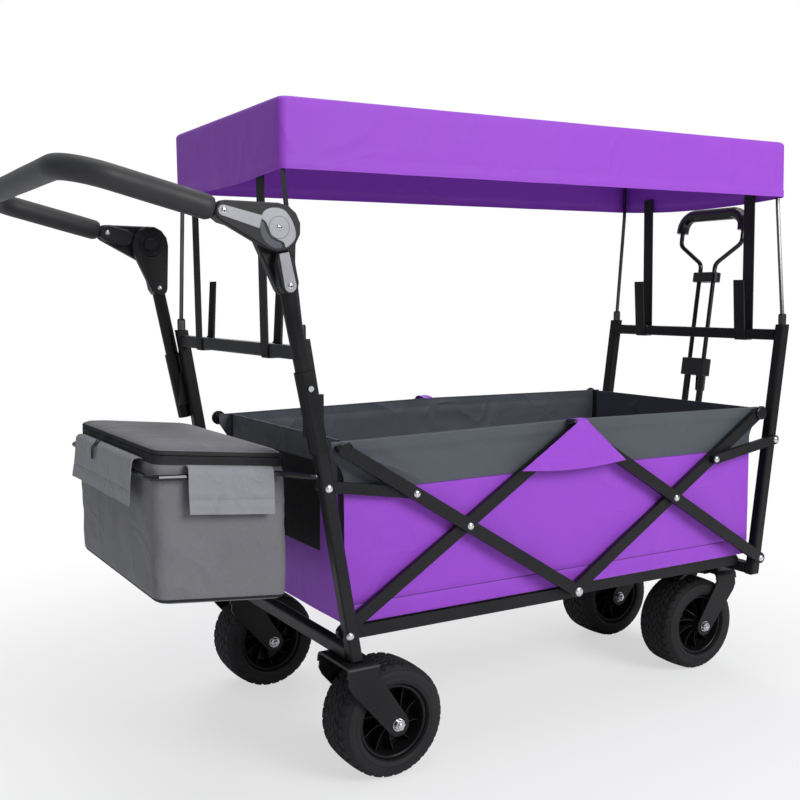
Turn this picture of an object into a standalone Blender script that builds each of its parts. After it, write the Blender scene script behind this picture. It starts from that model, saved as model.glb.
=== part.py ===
"""Folding wagon with a canopy, a push handle, a pull handle and a rear bag.

Metres, +Z up. +X points to the pull handle, +Y is the left side. The origin is on the floor,
under the middle of the whole wagon's length and width.
"""

import math

import bmesh
import bpy
from mathutils import Matrix, Vector
from mathutils.geometry import tessellate_polygon

# Running clearances
GAP = 0.0003
LINK_GAP = 0.001
PIN_GAP = 0.0003
SUNK = 0.0004

# Wheels
TYRE_RADIUS = 0.089
TYRE_WIDTH = 0.086
TYRE_CORNER = 0.013
RIM_RADIUS = 0.058
RIM_WALL = 0.006
HUB_WIDTH = 0.072
HUB_BOSS_RADIUS = 0.015
HUB_WEB = 0.006
HUB_RIBS = 10
WHEEL_SEGMENTS = 30
AXLE_RADIUS = 0.005
NUT_RADIUS = 0.0085
NUT_HEIGHT = 0.0055
REAR_AXLE_INSET = 0.071
REAR_WHEEL_Y = 0.2292
CASTER_Y = 0.1212
CASTER_TRAIL = 0.058

# Forks
FORK_PLATE = 0.004
FORK_CLEARANCE = 0.0045
FORK_TOP_Z = 0.190
FORK_TOP_LENGTH = 0.052
FORK_TOP_SKEW = 0.002
FORK_END_RADIUS = 0.018
FORK_CORNER = 0.008
SWIVEL_HEIGHT = 0.0085
SWIVEL_RADIUS = 0.024
BRAKE_HALF_WIDTH = 0.024
BRAKE_BARREL = 0.0035

# Posts and crossbars
TUBE = 0.020
TUBE_CORNER = 0.0025
POST_TOP_Z = 0.672
REAR_POST_INSET = 0.005
REAR_POST_LEAN = 0.1653
FRONT_POST_OUTSET = 0.0025
FRONT_POST_LEAN = 0.142
UPPER_BAR_Z = 0.652

# Scissor links. They cross the open wagon at rest and stand up when it is folded.
HALF_SPAN = 0.442
FOLDED_HALF_SPAN = 0.108
LINK_LOW_Z = 0.2323
LINK_HIGH_Z = 0.508
LINK_WIDTH = 0.020
LINK_DEPTH = 0.009
LINK_OUTER_Y = 0.2475
STAY_WIDTH = 0.017
STAY_REACH = 0.145
RIVET_RADIUS = 0.003
RIVET_HEAD_RADIUS = 0.0058
RIVET_HEAD = 0.0022
END_CAP_RADIUS = 0.013

# Folding bed and its floor boards
BED_HINGE_INSET = 0.033
RAIL_WIDTH = 0.012
RAIL_HEIGHT = 0.020
RAIL_Y = 0.2245
RAIL_BOTTOM_Z = 0.216
CROSS_TUBE_PLACES = (0.045, 0.160, 0.275)
CROSS_TUBE_WIDTH = 0.012
HINGE_PLATE = 0.003
FLOOR_THICKNESS = 0.004

# Fabric tub
CLOTH = 0.003
TUB_TOP_Z = 0.522
TUB_END_INSET = 0.009
TUB_CORNER = 0.009
TUB_FLAP_BACK = 0.125
TUB_FLAP_AHEAD = 0.095
TUB_FLAP_DROP = 0.072

# Canopy, its bows and straps
CANOPY_REAR_OUTSET = 0.082
CANOPY_FRONT_OUTSET = 0.075
CANOPY_HALF_WIDTH = 0.2225
CANOPY_TOP_Z = 1.0135
CANOPY_SAG = 0.012
VALANCE_DROP = 0.102
CANOPY_END_DROOP = 0.009
BOW_RADIUS = 0.00375
SOCKET_RADIUS = 0.0075
SOCKET_HEIGHT = 0.020
STRAP_WIDTH = 0.025
STRAP_THICKNESS = 0.0016
STRAP_Y = 0.140
STRAP_TAIL = 0.105

# Push handle
HANDLE_Y = 0.2775
HANDLE_LEAN = 0.20
HANDLE_OUTSET = 0.066
SLEEVE_MID_Z = 0.57
SLEEVE_LENGTH = 0.118
SLEEVE_RADIUS = 0.0135
SLEEVE_BLOCK = 0.060
SNAP_BELOW_SLEEVE_TOP = 0.024
HANDLE_TUBE_RADIUS = 0.0112
HANDLE_TUBE_BURIED = 0.110
HANDLE_TRAVEL = 0.080
KNUCKLE_Z = 0.824
KNUCKLE_RADIUS = 0.033
KNUCKLE_HALF_WIDTH = 0.015
KNUCKLE_ARM = 0.088
KNUCKLE_ARM_RADIUS = 0.0145
KNUCKLE_BUTTON_RADIUS = 0.012
KNUCKLE_BUTTON_STANDS = 0.004
BUTTON_TRAVEL = 0.003
GRIP_RISE_DEG = 14.6
GRIP_LENGTH = 0.2875
GRIP_RADIUS = 0.0168
GRIP_CORNER = 0.060
SNAP_BUTTON_RADIUS = 0.0042
SNAP_BUTTON_STANDS = 0.0025
SNAP_BUTTON_TIP = 0.0075
SNAP_GROOVE_FLOOR = 0.0045

# Pull handle
PULL_PIVOT_Z = 0.216
PULL_AHEAD_OF_POST = 0.026
PULL_ROD_Y = 0.0195
PULL_ROD_RADIUS = 0.0045
PULL_TUBE_RADIUS = 0.0068
PULL_TUBE_TOP = 0.372
PULL_CLAMP_HEIGHT = 0.036
PULL_COLLAR_AT = 0.5535
PULL_LOOP_TOP = 0.685
PULL_LOOP_HALF = 0.084
PULL_GRIP_RADIUS = 0.0125
PULL_ROD_BOTTOM = 0.118

# Rear bag and its rail
BAG_BACK_OUTSET = 0.270
BAG_DEPTH = 0.200
BAG_HALF_WIDTH = 0.200
BAG_BOTTOM_Z = 0.293
BAG_TOP_Z = 0.506
BAG_CORNER = 0.028
BAG_LID_RISE = 0.016
BAG_LID_EDGE = 0.008
BAG_RAIL_RADIUS = 0.0042
BAG_RAIL_Z = 0.474
BAG_RAIL_LIFT = 0.012
BAG_RAIL_CORNER = 0.014
BAG_RAIL_STANDS = 0.009
FLAP_LENGTH = 0.066
SIDE_FLAP_WIDTH = 0.128
SIDE_FLAP_OUTSET = 0.161
BACK_FLAP_HALF = 0.155
FLAP_THICKNESS = 0.0025

# Worked out from the sizes above. The frame's ends keep their places beside the scissor links.
REAR_AXLE_BACK = HALF_SPAN - REAR_AXLE_INSET
REAR_POST_BACK = HALF_SPAN - REAR_POST_INSET
FRONT_POST_AHEAD = HALF_SPAN + FRONT_POST_OUTSET
TUB_HALF_LENGTH = HALF_SPAN - TUB_END_INSET
CANOPY_BACK = HALF_SPAN + CANOPY_REAR_OUTSET
CANOPY_AHEAD = HALF_SPAN + CANOPY_FRONT_OUTSET
HANDLE_BACK = HALF_SPAN + HANDLE_OUTSET
BAG_BACK = HALF_SPAN + BAG_BACK_OUTSET
SIDE_FLAP_MIDDLE = -HALF_SPAN - SIDE_FLAP_OUTSET
LINK_LENGTH = math.hypot(HALF_SPAN, LINK_HIGH_Z - LINK_LOW_Z)
LINK_INNER_Y = LINK_OUTER_Y - LINK_DEPTH - LINK_GAP
REAR_POST_Y = LINK_INNER_Y + LINK_DEPTH / 2 + LINK_GAP + TUBE / 2
FRONT_POST_Y = LINK_OUTER_Y - LINK_DEPTH / 2 - LINK_GAP - TUBE / 2
BED_HINGE_X = HALF_SPAN - BED_HINGE_INSET
BED_HINGE_Z = RAIL_BOTTOM_Z + RAIL_HEIGHT / 2
FRONT_RAIL_Y = RAIL_Y - RAIL_WIDTH - LINK_GAP
FORK_LEG_Y = TYRE_WIDTH / 2 + FORK_CLEARANCE
GRIP_RISE = math.radians(GRIP_RISE_DEG)
KNUCKLE_BACK = HANDLE_BACK + HANDLE_LEAN * (KNUCKLE_Z - SLEEVE_MID_Z)
SLEEVE_TOP = (KNUCKLE_Z - SLEEVE_MID_Z) * math.hypot(1, HANDLE_LEAN) - SLEEVE_LENGTH / 2
SNAP_AT = SLEEVE_TOP + SNAP_BELOW_SLEEVE_TOP
PULL_LEAN = math.atan(FRONT_POST_LEAN)
REAR_REACH = KNUCKLE_BACK + (GRIP_LENGTH + GRIP_RADIUS) * math.cos(GRIP_RISE)
FRONT_REACH = (
    FRONT_POST_AHEAD
    + FRONT_POST_LEAN * (PULL_PIVOT_Z - LINK_LOW_Z)
    + PULL_AHEAD_OF_POST
    + PULL_LOOP_TOP * math.sin(PULL_LEAN)
    + PULL_GRIP_RADIUS * math.cos(PULL_LEAN)
)
MIDDLE_X = (REAR_REACH - FRONT_REACH) / 2
WHEEL_Z = TYRE_RADIUS


def rear_post_x(z):
    """Centre line of a rear post at a height."""
    return -REAR_POST_BACK - REAR_POST_LEAN * (z - LINK_LOW_Z)


def front_post_x(z):
    """Centre line of a front post at a height."""
    return FRONT_POST_AHEAD + FRONT_POST_LEAN * (z - LINK_LOW_Z)


def handle_x(z):
    """Centre line of a push handle tube at a height."""
    return -HANDLE_BACK - HANDLE_LEAN * (z - SLEEVE_MID_Z)


def link_angle(half_span):
    """Slope of the scissor links for a half span."""
    return math.acos(half_span / LINK_LENGTH)


def stay_pin():
    """Where a stay turns on the rear post, so that it closes both open and folded."""
    points = []
    for half_span in (HALF_SPAN, FOLDED_HALF_SPAN):
        angle = link_angle(half_span)
        top = LINK_LOW_Z + LINK_LENGTH * math.sin(angle)
        points.append(
            (
                -HALF_SPAN + STAY_REACH * math.cos(angle),
                top - STAY_REACH * math.sin(angle),
            )
        )
    (ax, az), (bx, bz) = points
    across, up = 2 * (bx - ax), 2 * (bz - az)
    total = bx * bx + bz * bz - ax * ax - az * az
    foot = rear_post_x(0)
    z = (total - across * foot) / (up - across * REAR_POST_LEAN)
    return rear_post_x(z), z, points


STAY_X, STAY_Z, (STAY_END, STAY_END_FOLDED) = stay_pin()
CROSSING_Z = (LINK_LOW_Z + LINK_HIGH_Z) / 2
CASTER_X = FRONT_POST_AHEAD + FRONT_POST_LEAN * (FORK_TOP_Z - LINK_LOW_Z)
BRAKE_X = CASTER_X - FORK_TOP_LENGTH / 2 - FORK_TOP_SKEW - BRAKE_BARREL - LINK_GAP
BRAKE_Z = FORK_TOP_Z - FORK_PLATE / 2 - 0.001
FRONT_LOWER_BAR_Z = FORK_TOP_Z + SWIVEL_HEIGHT + TUBE / 2
REAR_LOWER_BAR_Z = FORK_TOP_Z + GAP + TUBE / 2
PULL_X = front_post_x(PULL_PIVOT_Z) + PULL_AHEAD_OF_POST
BAG_FRONT = -(BAG_BACK - BAG_DEPTH)
BAG_RAIL_Y = BAG_HALF_WIDTH + BAG_RAIL_STANDS
BAG_LID_HINGE_Z = BAG_TOP_Z + GAP

# Each moving body turns or slides about the empty of its name, kept here as x, y, z
PIVOTS = {
    "rear_frame": (0, 0, 0),
    "front_frame": (0, 0, 0),
    "rear_inner_links": (-HALF_SPAN, 0, LINK_LOW_Z),
    "rear_outer_links": (-HALF_SPAN / 2, 0, CROSSING_Z),
    "tub_rear": (-HALF_SPAN, 0, LINK_HIGH_Z),
    "front_outer_links": (HALF_SPAN, 0, LINK_LOW_Z),
    "front_inner_links": (HALF_SPAN / 2, 0, CROSSING_Z),
    "tub_front": (HALF_SPAN, 0, LINK_HIGH_Z),
    "rear_stays": (STAY_X, 0, STAY_Z),
    "front_stays": (-STAY_X, 0, STAY_Z),
    "bed_rear": (-BED_HINGE_X, 0, BED_HINGE_Z),
    "bed_front": (BED_HINGE_X, 0, BED_HINGE_Z),
    "push_handle": (-KNUCKLE_BACK, 0, KNUCKLE_Z),
    "push_grip": (-KNUCKLE_BACK, 0, KNUCKLE_Z),
    "pull_handle": (PULL_X, 0, PULL_PIVOT_Z),
    "pull_loop": (PULL_X, 0, PULL_PIVOT_Z),
    "bag_lid": (BAG_FRONT, 0, BAG_LID_HINGE_Z),
}
SIDES = {"left": 1, "right": -1}


def clear_scene():
    for item in list(bpy.data.objects):
        bpy.data.objects.remove(item, do_unlink=True)


def material(name, colour, roughness, metallic=0.0):
    """A Principled material, made once for each name."""
    made = bpy.data.materials.get(name)
    if made is None:
        made = bpy.data.materials.new(name)
        made.use_nodes = True
        shader = made.node_tree.nodes["Principled BSDF"]
        shader.inputs["Base Color"].default_value = (*colour, 1.0)
        shader.inputs["Roughness"].default_value = roughness
        shader.inputs["Metallic"].default_value = metallic
        made.diffuse_color = (*colour, 1.0)
    return made


def black_frame():
    return material("powder_coated_steel", (0.012, 0.012, 0.013), 0.35, 0.6)


def black_plastic():
    return material("black_plastic", (0.014, 0.014, 0.016), 0.45)


def bright_steel():
    return material("zinc_plated_steel", (0.72, 0.73, 0.75), 0.25, 1.0)


def rubber():
    return material("tyre_rubber", (0.016, 0.016, 0.018), 0.75)


def purple_cloth():
    return material("purple_oxford_cloth", (0.34, 0.075, 0.66), 0.8)


def grey_cloth():
    return material("grey_oxford_cloth", (0.21, 0.21, 0.24), 0.85)


def foam():
    return material("foam_grip", (0.02, 0.02, 0.022), 0.7)


def body_empty(body):
    """The empty that a moving body turns or slides about."""
    made = bpy.data.objects.get(body + "_pivot")
    if made is None:
        made = bpy.data.objects.new(body + "_pivot", None)
        made.empty_display_size = 0.04
        x, y, z = PIVOTS[body]
        made.location = (x + MIDDLE_X, y, z)
        bpy.context.scene.collection.objects.link(made)
    return made


def add_part(name, shape, body, finish):
    """Turn a shape in wagon coordinates into a named object that hangs on its body's empty."""
    bmesh.ops.translate(shape, verts=shape.verts, vec=-Vector(PIVOTS[body]))
    bmesh.ops.recalc_face_normals(shape, faces=shape.faces)
    mesh = bpy.data.meshes.new(name)
    shape.to_mesh(mesh)
    shape.free()
    mesh.materials.append(finish)
    mesh.shade_smooth()
    mesh.set_sharp_from_angle(angle=math.radians(35))
    part = bpy.data.objects.new(name, mesh)
    bpy.context.scene.collection.objects.link(part)
    part.parent = body_empty(body)
    return part


def circle(x, z, radius, count=12, start=0.0):
    """Points round a circle in the XZ plane."""
    turn = 2 * math.pi / count
    return [
        (x + radius * math.cos(start + n * turn), z + radius * math.sin(start + n * turn))
        for n in range(count)
    ]


def belt(first, first_radius, last, last_radius, count=6):
    """Outline round two circles, as a belt runs round two pulleys. Equal radii make a slot."""
    (ax, az), (bx, bz) = first, last
    heading = math.atan2(bz - az, bx - ax)
    spread = math.acos((first_radius - last_radius) / math.hypot(bx - ax, bz - az))
    outline = []
    for (cx, cz), radius, start, sweep in (
        ((ax, az), first_radius, heading + spread, 2 * (math.pi - spread)),
        ((bx, bz), last_radius, heading - spread, 2 * spread),
    ):
        for n in range(count + 1):
            angle = start + sweep * n / count
            outline.append((cx + radius * math.cos(angle), cz + radius * math.sin(angle)))
    return outline


def rounded_rectangle(x, z, width, height, radius, count=2):
    """Outline of a rectangle with round corners in the XZ plane."""
    outline = []
    for turn, (sx, sz) in enumerate(((1, 1), (-1, 1), (-1, -1), (1, -1))):
        for n in range(count + 1):
            angle = math.pi / 2 * (turn + n / count)
            outline.append(
                (
                    x + sx * (width / 2 - radius) + radius * math.cos(angle),
                    z + sz * (height / 2 - radius) + radius * math.sin(angle),
                )
            )
    return outline


def leaning_bar(line, bottom, top, width):
    """Outline of a leaning post between two heights, cut level at both ends."""
    return [
        (line(bottom) - width / 2, bottom),
        (line(bottom) + width / 2, bottom),
        (line(top) + width / 2, top),
        (line(top) - width / 2, top),
    ]


def drawn_in(outline, distance):
    """The outline moved inwards by a distance, corner by corner."""
    area = sum(
        a[0] * b[1] - b[0] * a[1] for a, b in zip(outline, outline[1:] + outline[:1])
    )
    side = 1 if area > 0 else -1
    moved = []
    for before, here, after in zip(outline[-1:] + outline[:-1], outline, outline[1:] + outline[:1]):
        first = (Vector(here) - Vector(before)).normalized()
        second = (Vector(after) - Vector(here)).normalized()
        inward = Vector((-first.y - second.y, first.x + second.x)) * side
        stretch = max(inward.length_squared / 2, 0.5)
        moved.append(tuple(Vector(here) + inward * (distance / stretch)))
    return moved


def plate(outline, low_y, high_y, holes=(), chamfer=0.0):
    """A flat piece cut to an outline in XZ, from low_y to high_y, with holes right through."""
    shape = bmesh.new()
    edge = drawn_in(outline, chamfer) if chamfer else outline
    levels = [(low_y, edge), (high_y, edge)]
    if chamfer:
        levels = [
            (low_y, edge),
            (low_y + chamfer, outline),
            (high_y - chamfer, outline),
            (high_y, edge),
        ]
    rings = [[shape.verts.new((x, y, z)) for x, z in loop] for y, loop in levels]
    hole_rings = [
        [[shape.verts.new((x, y, z)) for x, z in hole] for y in (low_y, high_y)] for hole in holes
    ]
    for stack in [rings] + hole_rings:
        for lower, upper in zip(stack, stack[1:]):
            for n in range(len(lower)):
                m = (n + 1) % len(lower)
                shape.faces.new((lower[n], lower[m], upper[m], upper[n]))
    flat = [[Vector((x, z, 0)) for x, z in loop] for loop in [edge, *holes]]
    for end in (0, -1):
        corners = rings[end] + [vert for stack in hole_rings for vert in stack[end]]
        for triangle in tessellate_polygon(flat):
            shape.faces.new([corners[n] for n in triangle])
    bmesh.ops.recalc_face_normals(shape, faces=shape.faces)
    return shape


def turned(profile, count, centre, closed=False, axis="Y", start=0.0):
    """A turned piece. The profile's points are (radius, place along the axis)."""
    shape = bmesh.new()
    spin = {
        "Y": lambda r, h, a: (r * math.cos(a), h, r * math.sin(a)),
        "Z": lambda r, h, a: (r * math.cos(a), r * math.sin(a), h),
    }[axis]
    rings = []
    for radius, height in profile:
        if radius == 0:
            rings.append([shape.verts.new(Vector(centre) + Vector(spin(0, height, 0)))])
            continue
        rings.append(
            [
                shape.verts.new(
                    Vector(centre) + Vector(spin(radius, height, start + 2 * math.pi * n / count))
                )
                for n in range(count)
            ]
        )
    pairs = list(zip(rings, rings[1:]))
    if closed:
        pairs.append((rings[-1], rings[0]))
    for lower, upper in pairs:
        for n in range(count):
            m = (n + 1) % count
            corners = [lower[n % len(lower)], lower[m % len(lower)]]
            corners += [upper[m % len(upper)], upper[n % len(upper)]]
            corners = list(dict.fromkeys(corners))
            if len(corners) > 2:
                shape.faces.new(corners)
    bmesh.ops.recalc_face_normals(shape, faces=shape.faces)
    return shape


def pin(x, y, z, radius, low, high, count=10, heads=(0.0, 0.0), head=0.0, axis="Y"):
    """A pin from low to high along its axis, with a domed head of each radius above zero."""
    profile = []
    if heads[0]:
        profile += [(0, low - head), (heads[0] * 0.7, low - head * 0.8)]
        profile += [(heads[0], low), (radius, low)]
    else:
        profile += [(0, low), (radius, low)]
    if heads[1]:
        profile += [(radius, high), (heads[1], high)]
        profile += [(heads[1] * 0.7, high + head * 0.8), (0, high + head)]
    else:
        profile += [(radius, high), (0, high)]
    return turned(profile, count, (x, y, z), axis=axis)


def tube_section(radius, count=10):
    return [
        (radius * math.cos(2 * math.pi * n / count), radius * math.sin(2 * math.pi * n / count))
        for n in range(count)
    ]


def swept(path, section, first_side=(0, 0, 1)):
    """A solid drawn along a path of points. The section turns with the path without twisting."""
    path = [Vector(point) for point in path]
    side = Vector(first_side)
    shape = bmesh.new()
    rings = []
    for n, point in enumerate(path):
        before = (point - path[n - 1]).normalized() if n else None
        after = (path[n + 1] - point).normalized() if n + 1 < len(path) else None
        along = ((before or after) + (after or before)).normalized()
        side = (side - along * side.dot(along)).normalized()
        across = along.cross(side)
        stretch, bend = 1.0, Vector((0, 0, 0))
        if before and after and before.angle(after) > 1e-4:
            stretch = 1 / math.cos(before.angle(after) / 2)
            bend = (after - before).normalized()
        ring = []
        for u, v in section:
            offset = side * u + across * v
            offset += bend * (offset.dot(bend) * (stretch - 1))
            ring.append(shape.verts.new(point + offset))
        rings.append(ring)
    for lower, upper in zip(rings, rings[1:]):
        for n in range(len(section)):
            m = (n + 1) % len(section)
            shape.faces.new((lower[n], lower[m], upper[m], upper[n]))
    for ring in (rings[0], rings[-1]):
        shape.faces.new(ring)
    bmesh.ops.recalc_face_normals(shape, faces=shape.faces)
    return shape


def rounded_path(points, radii, count=5):
    """The points as one path, with each inner corner turned into an arc of its radius."""
    points = [Vector(point) for point in points]
    path = [points[0]]
    for before, corner, after, radius in zip(points, points[1:], points[2:], radii):
        to_before = (before - corner).normalized()
        to_after = (after - corner).normalized()
        half = to_before.angle(to_after) / 2
        reach = radius / math.tan(half)
        start = corner + to_before * reach
        end = corner + to_after * reach
        centre = corner + (to_before + to_after).normalized() * (radius / math.sin(half))
        for n in range(count + 1):
            spoke = (start - centre).slerp(end - centre, n / count)
            path.append(centre + spoke.normalized() * radius)
    path.append(points[-1])
    return path


def brick(low, high):
    """A plain rectangular block between two corners."""
    shape = bmesh.new()
    bmesh.ops.create_cube(shape, size=1)
    low, high = Vector(low), Vector(high)
    bmesh.ops.scale(shape, verts=shape.verts, vec=high - low)
    bmesh.ops.translate(shape, verts=shape.verts, vec=(low + high) / 2)
    return shape


def combined(first, others, operation):
    """Fuse a shape with the others, or cut them out of it or intersect it, in one exact Boolean."""
    tools = bpy.data.collections.new("tools")
    bpy.context.scene.collection.children.link(tools)
    items = []
    for shape in [first, *others]:
        mesh = bpy.data.meshes.new("piece")
        shape.to_mesh(mesh)
        shape.free()
        item = bpy.data.objects.new("piece", mesh)
        home = tools if items else bpy.context.scene.collection
        home.objects.link(item)
        items.append(item)
    change = items[0].modifiers.new("combine", "BOOLEAN")
    change.operation = operation
    change.operand_type = "COLLECTION"
    change.collection = tools
    bpy.context.view_layer.update()
    result = bmesh.new()
    result.from_object(items[0], bpy.context.evaluated_depsgraph_get())
    for item in items:
        mesh = item.data
        bpy.data.objects.remove(item)
        bpy.data.meshes.remove(mesh)
    bpy.data.collections.remove(tools)
    return result


def fused(shapes):
    """Several overlapping shapes made into one solid."""
    return combined(shapes[0], shapes[1:], "UNION")


def mirrored(shape):
    """The same shape on the other side of the wagon."""
    bmesh.ops.scale(shape, verts=shape.verts, vec=(1, -1, 1))
    bmesh.ops.reverse_faces(shape, faces=shape.faces)
    return shape


def add_pair(name, make, body, finish):
    """A left part, and its mirror image on the right. A body may be one for each side."""
    for side_name, side in SIDES.items():
        shape = make() if side > 0 else mirrored(make())
        own_body = body + "_" + side_name if body + "_" + side_name in PIVOTS else body
        add_part(name + "_" + side_name, shape, own_body, finish)


def moved(shape, x=0.0, y=0.0, z=0.0):
    bmesh.ops.translate(shape, verts=shape.verts, vec=(x, y, z))
    return shape


def turned_about_y(shape, angle):
    """The shape turned about the Y axis through the origin, +X towards +Z when positive."""
    bmesh.ops.rotate(shape, verts=shape.verts, matrix=Matrix.Rotation(-angle, 3, "Y"))
    return shape


def post(post_x, post_y, bottom, fittings):
    """A square post that leans outwards, with what is fastened to it."""
    outline = leaning_bar(post_x, bottom, POST_TOP_Z, TUBE)
    bar = plate(outline, post_y - TUBE / 2, post_y + TUBE / 2, chamfer=TUBE_CORNER)
    return fused([bar, *fittings])


def crossbar(x, z, half_length):
    """A square tube across the wagon, between the inner faces of two posts."""
    outline = rounded_rectangle(x, z, TUBE, TUBE, TUBE_CORNER)
    return plate(outline, GAP - half_length, half_length - GAP)


def make_rear_frame():
    inner, outer = link_faces()
    face = REAR_POST_Y + TUBE / 2 - SUNK

    def rear_post():
        places = ((-HALF_SPAN, LINK_LOW_Z), (STAY_X, STAY_Z))
        fittings = [rivet(x, z, inner[0], face) for x, z in places] + [sleeve_block()]
        bar = post(rear_post_x, REAR_POST_Y, FORK_TOP_Z + GAP, fittings)
        return combined(bar, [sleeve_bore()], "DIFFERENCE")

    add_pair("rear_post", rear_post, "rear_frame", black_frame())
    reach = REAR_POST_Y - TUBE / 2
    bar_x = rear_post_x(UPPER_BAR_Z)
    upper = [crossbar(bar_x, UPPER_BAR_Z, reach)]
    upper += [moved(canopy_strap(-1, bar_x), y=side * STRAP_Y) for side in SIDES.values()]
    add_part("rear_upper_crossbar", fused(upper), "rear_frame", black_frame())
    bar_x = rear_post_x(REAR_LOWER_BAR_Z)
    lower = [crossbar(bar_x, REAR_LOWER_BAR_Z, reach), bed_ear(bar_x, -1, REAR_LOWER_BAR_Z)]
    lower.append(mirrored(bed_ear(bar_x, -1, REAR_LOWER_BAR_Z)))
    add_part("rear_lower_crossbar", fused(lower), "rear_frame", black_frame())


def bed_ear(bar_x, end, bar_z):
    """A lug on a lower crossbar that carries one rail of the folding bed. end is -1 at the rear."""
    hinge_x = end * BED_HINGE_X
    face = bar_x - end * (TUBE / 2 - 0.002)
    radius = 0.007
    ring = [
        (hinge_x - end * radius * math.sin(a), BED_HINGE_Z + radius * math.cos(a))
        for a in (math.pi * n / 6 for n in range(7))
    ]
    outline = [(face, bar_z - TUBE * 0.3), (face, bar_z + TUBE * 0.4), *ring]
    hole = circle(hinge_x, BED_HINGE_Z, RIVET_RADIUS + PIN_GAP, 8)
    rail_y = RAIL_Y if end < 0 else FRONT_RAIL_Y
    high = rail_y - RAIL_WIDTH / 2 - LINK_GAP
    return plate(outline, high - HINGE_PLATE, high, [hole])


def make_front_frame():
    inner, outer = link_faces()
    face = FRONT_POST_Y - TUBE / 2 + SUNK

    def front_post():
        places = ((HALF_SPAN, LINK_LOW_Z), (-STAY_X, STAY_Z))
        rivets = [rivet(x, z, face, outer[1]) for x, z in places]
        return post(front_post_x, FRONT_POST_Y, FRONT_LOWER_BAR_Z - TUBE / 2, rivets)

    add_pair("front_post", front_post, "front_frame", black_frame())
    reach = FRONT_POST_Y - TUBE / 2
    bar_x = front_post_x(UPPER_BAR_Z)
    upper = [crossbar(bar_x, UPPER_BAR_Z, reach), handle_clip(bar_x)]
    upper += [moved(canopy_strap(1, bar_x), y=side * STRAP_Y) for side in SIDES.values()]
    add_part("front_upper_crossbar", fused(upper), "front_frame", black_frame())
    bar_x = front_post_x(FRONT_LOWER_BAR_Z)
    lower = [crossbar(bar_x, FRONT_LOWER_BAR_Z, reach)]
    for make in (lambda: bed_ear(bar_x, 1, FRONT_LOWER_BAR_Z), lambda: pull_ear(bar_x), swivel_cup):
        lower += [make(), mirrored(make())]
    add_part("front_lower_crossbar", fused(lower), "front_frame", black_frame())


def swivel_cup():
    """The plate and bearing cup under the front crossbar that a caster turns in."""
    top = FRONT_LOWER_BAR_Z - TUBE / 2 + 0.002
    bottom = FORK_TOP_Z + GAP
    waist = bottom + (top - bottom) * 0.55
    profile = [
        (0, bottom),
        (SWIVEL_RADIUS * 0.8, bottom),
        (SWIVEL_RADIUS * 0.92, waist),
        (SWIVEL_RADIUS, waist),
        (SWIVEL_RADIUS, top),
        (0, top),
    ]
    return turned(profile, 12, (CASTER_X, CASTER_Y, 0), axis="Z")


def handle_clip(bar_x):
    """The rest on the upper front crossbar, with a pad behind each of the pull handle's rods."""
    rod_x = PULL_X + (UPPER_BAR_Z - PULL_PIVOT_Z) * math.tan(PULL_LEAN)
    back = bar_x + TUBE / 2 - 0.002
    height = TUBE * 0.8
    front = rod_x - PULL_ROD_RADIUS - 2 * GAP - height / 2 * math.tan(PULL_LEAN)
    pad_half = 1.4 * PULL_ROD_RADIUS
    half = PULL_ROD_Y + pad_half
    inner = PULL_ROD_Y - pad_half
    shape = [brick((back, -half, -height / 2), (front - 0.003, half, height / 2))]
    for side in SIDES.values():
        low, high = sorted((side * inner, side * half))
        pad = brick((front - 0.004, low, -height * 0.45), (front, high, height * 0.45))
        shape.append(pad)
    return moved(fused(shape), z=UPPER_BAR_Z)


def pull_ear(bar_x):
    """One of the two lugs on the lower front crossbar that the pull handle swings on."""
    face = bar_x + TUBE / 2 - 0.002
    radius = 0.010
    centre = (PULL_X, PULL_PIVOT_Z)
    ring = [
        (centre[0] + radius * math.sin(a), centre[1] + radius * math.cos(a))
        for a in (math.pi * n / 7 for n in range(8))
    ]
    low = FRONT_LOWER_BAR_Z - TUBE * 0.4
    outline = [(face, low), (face, FRONT_LOWER_BAR_Z + TUBE * 0.4), *ring]
    y = PULL_ROD_Y + PULL_TUBE_RADIUS + 0.004
    hole = circle(*centre, RIVET_RADIUS + PIN_GAP, 8)
    return plate(outline, y, y + HINGE_PLATE, [hole])


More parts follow.
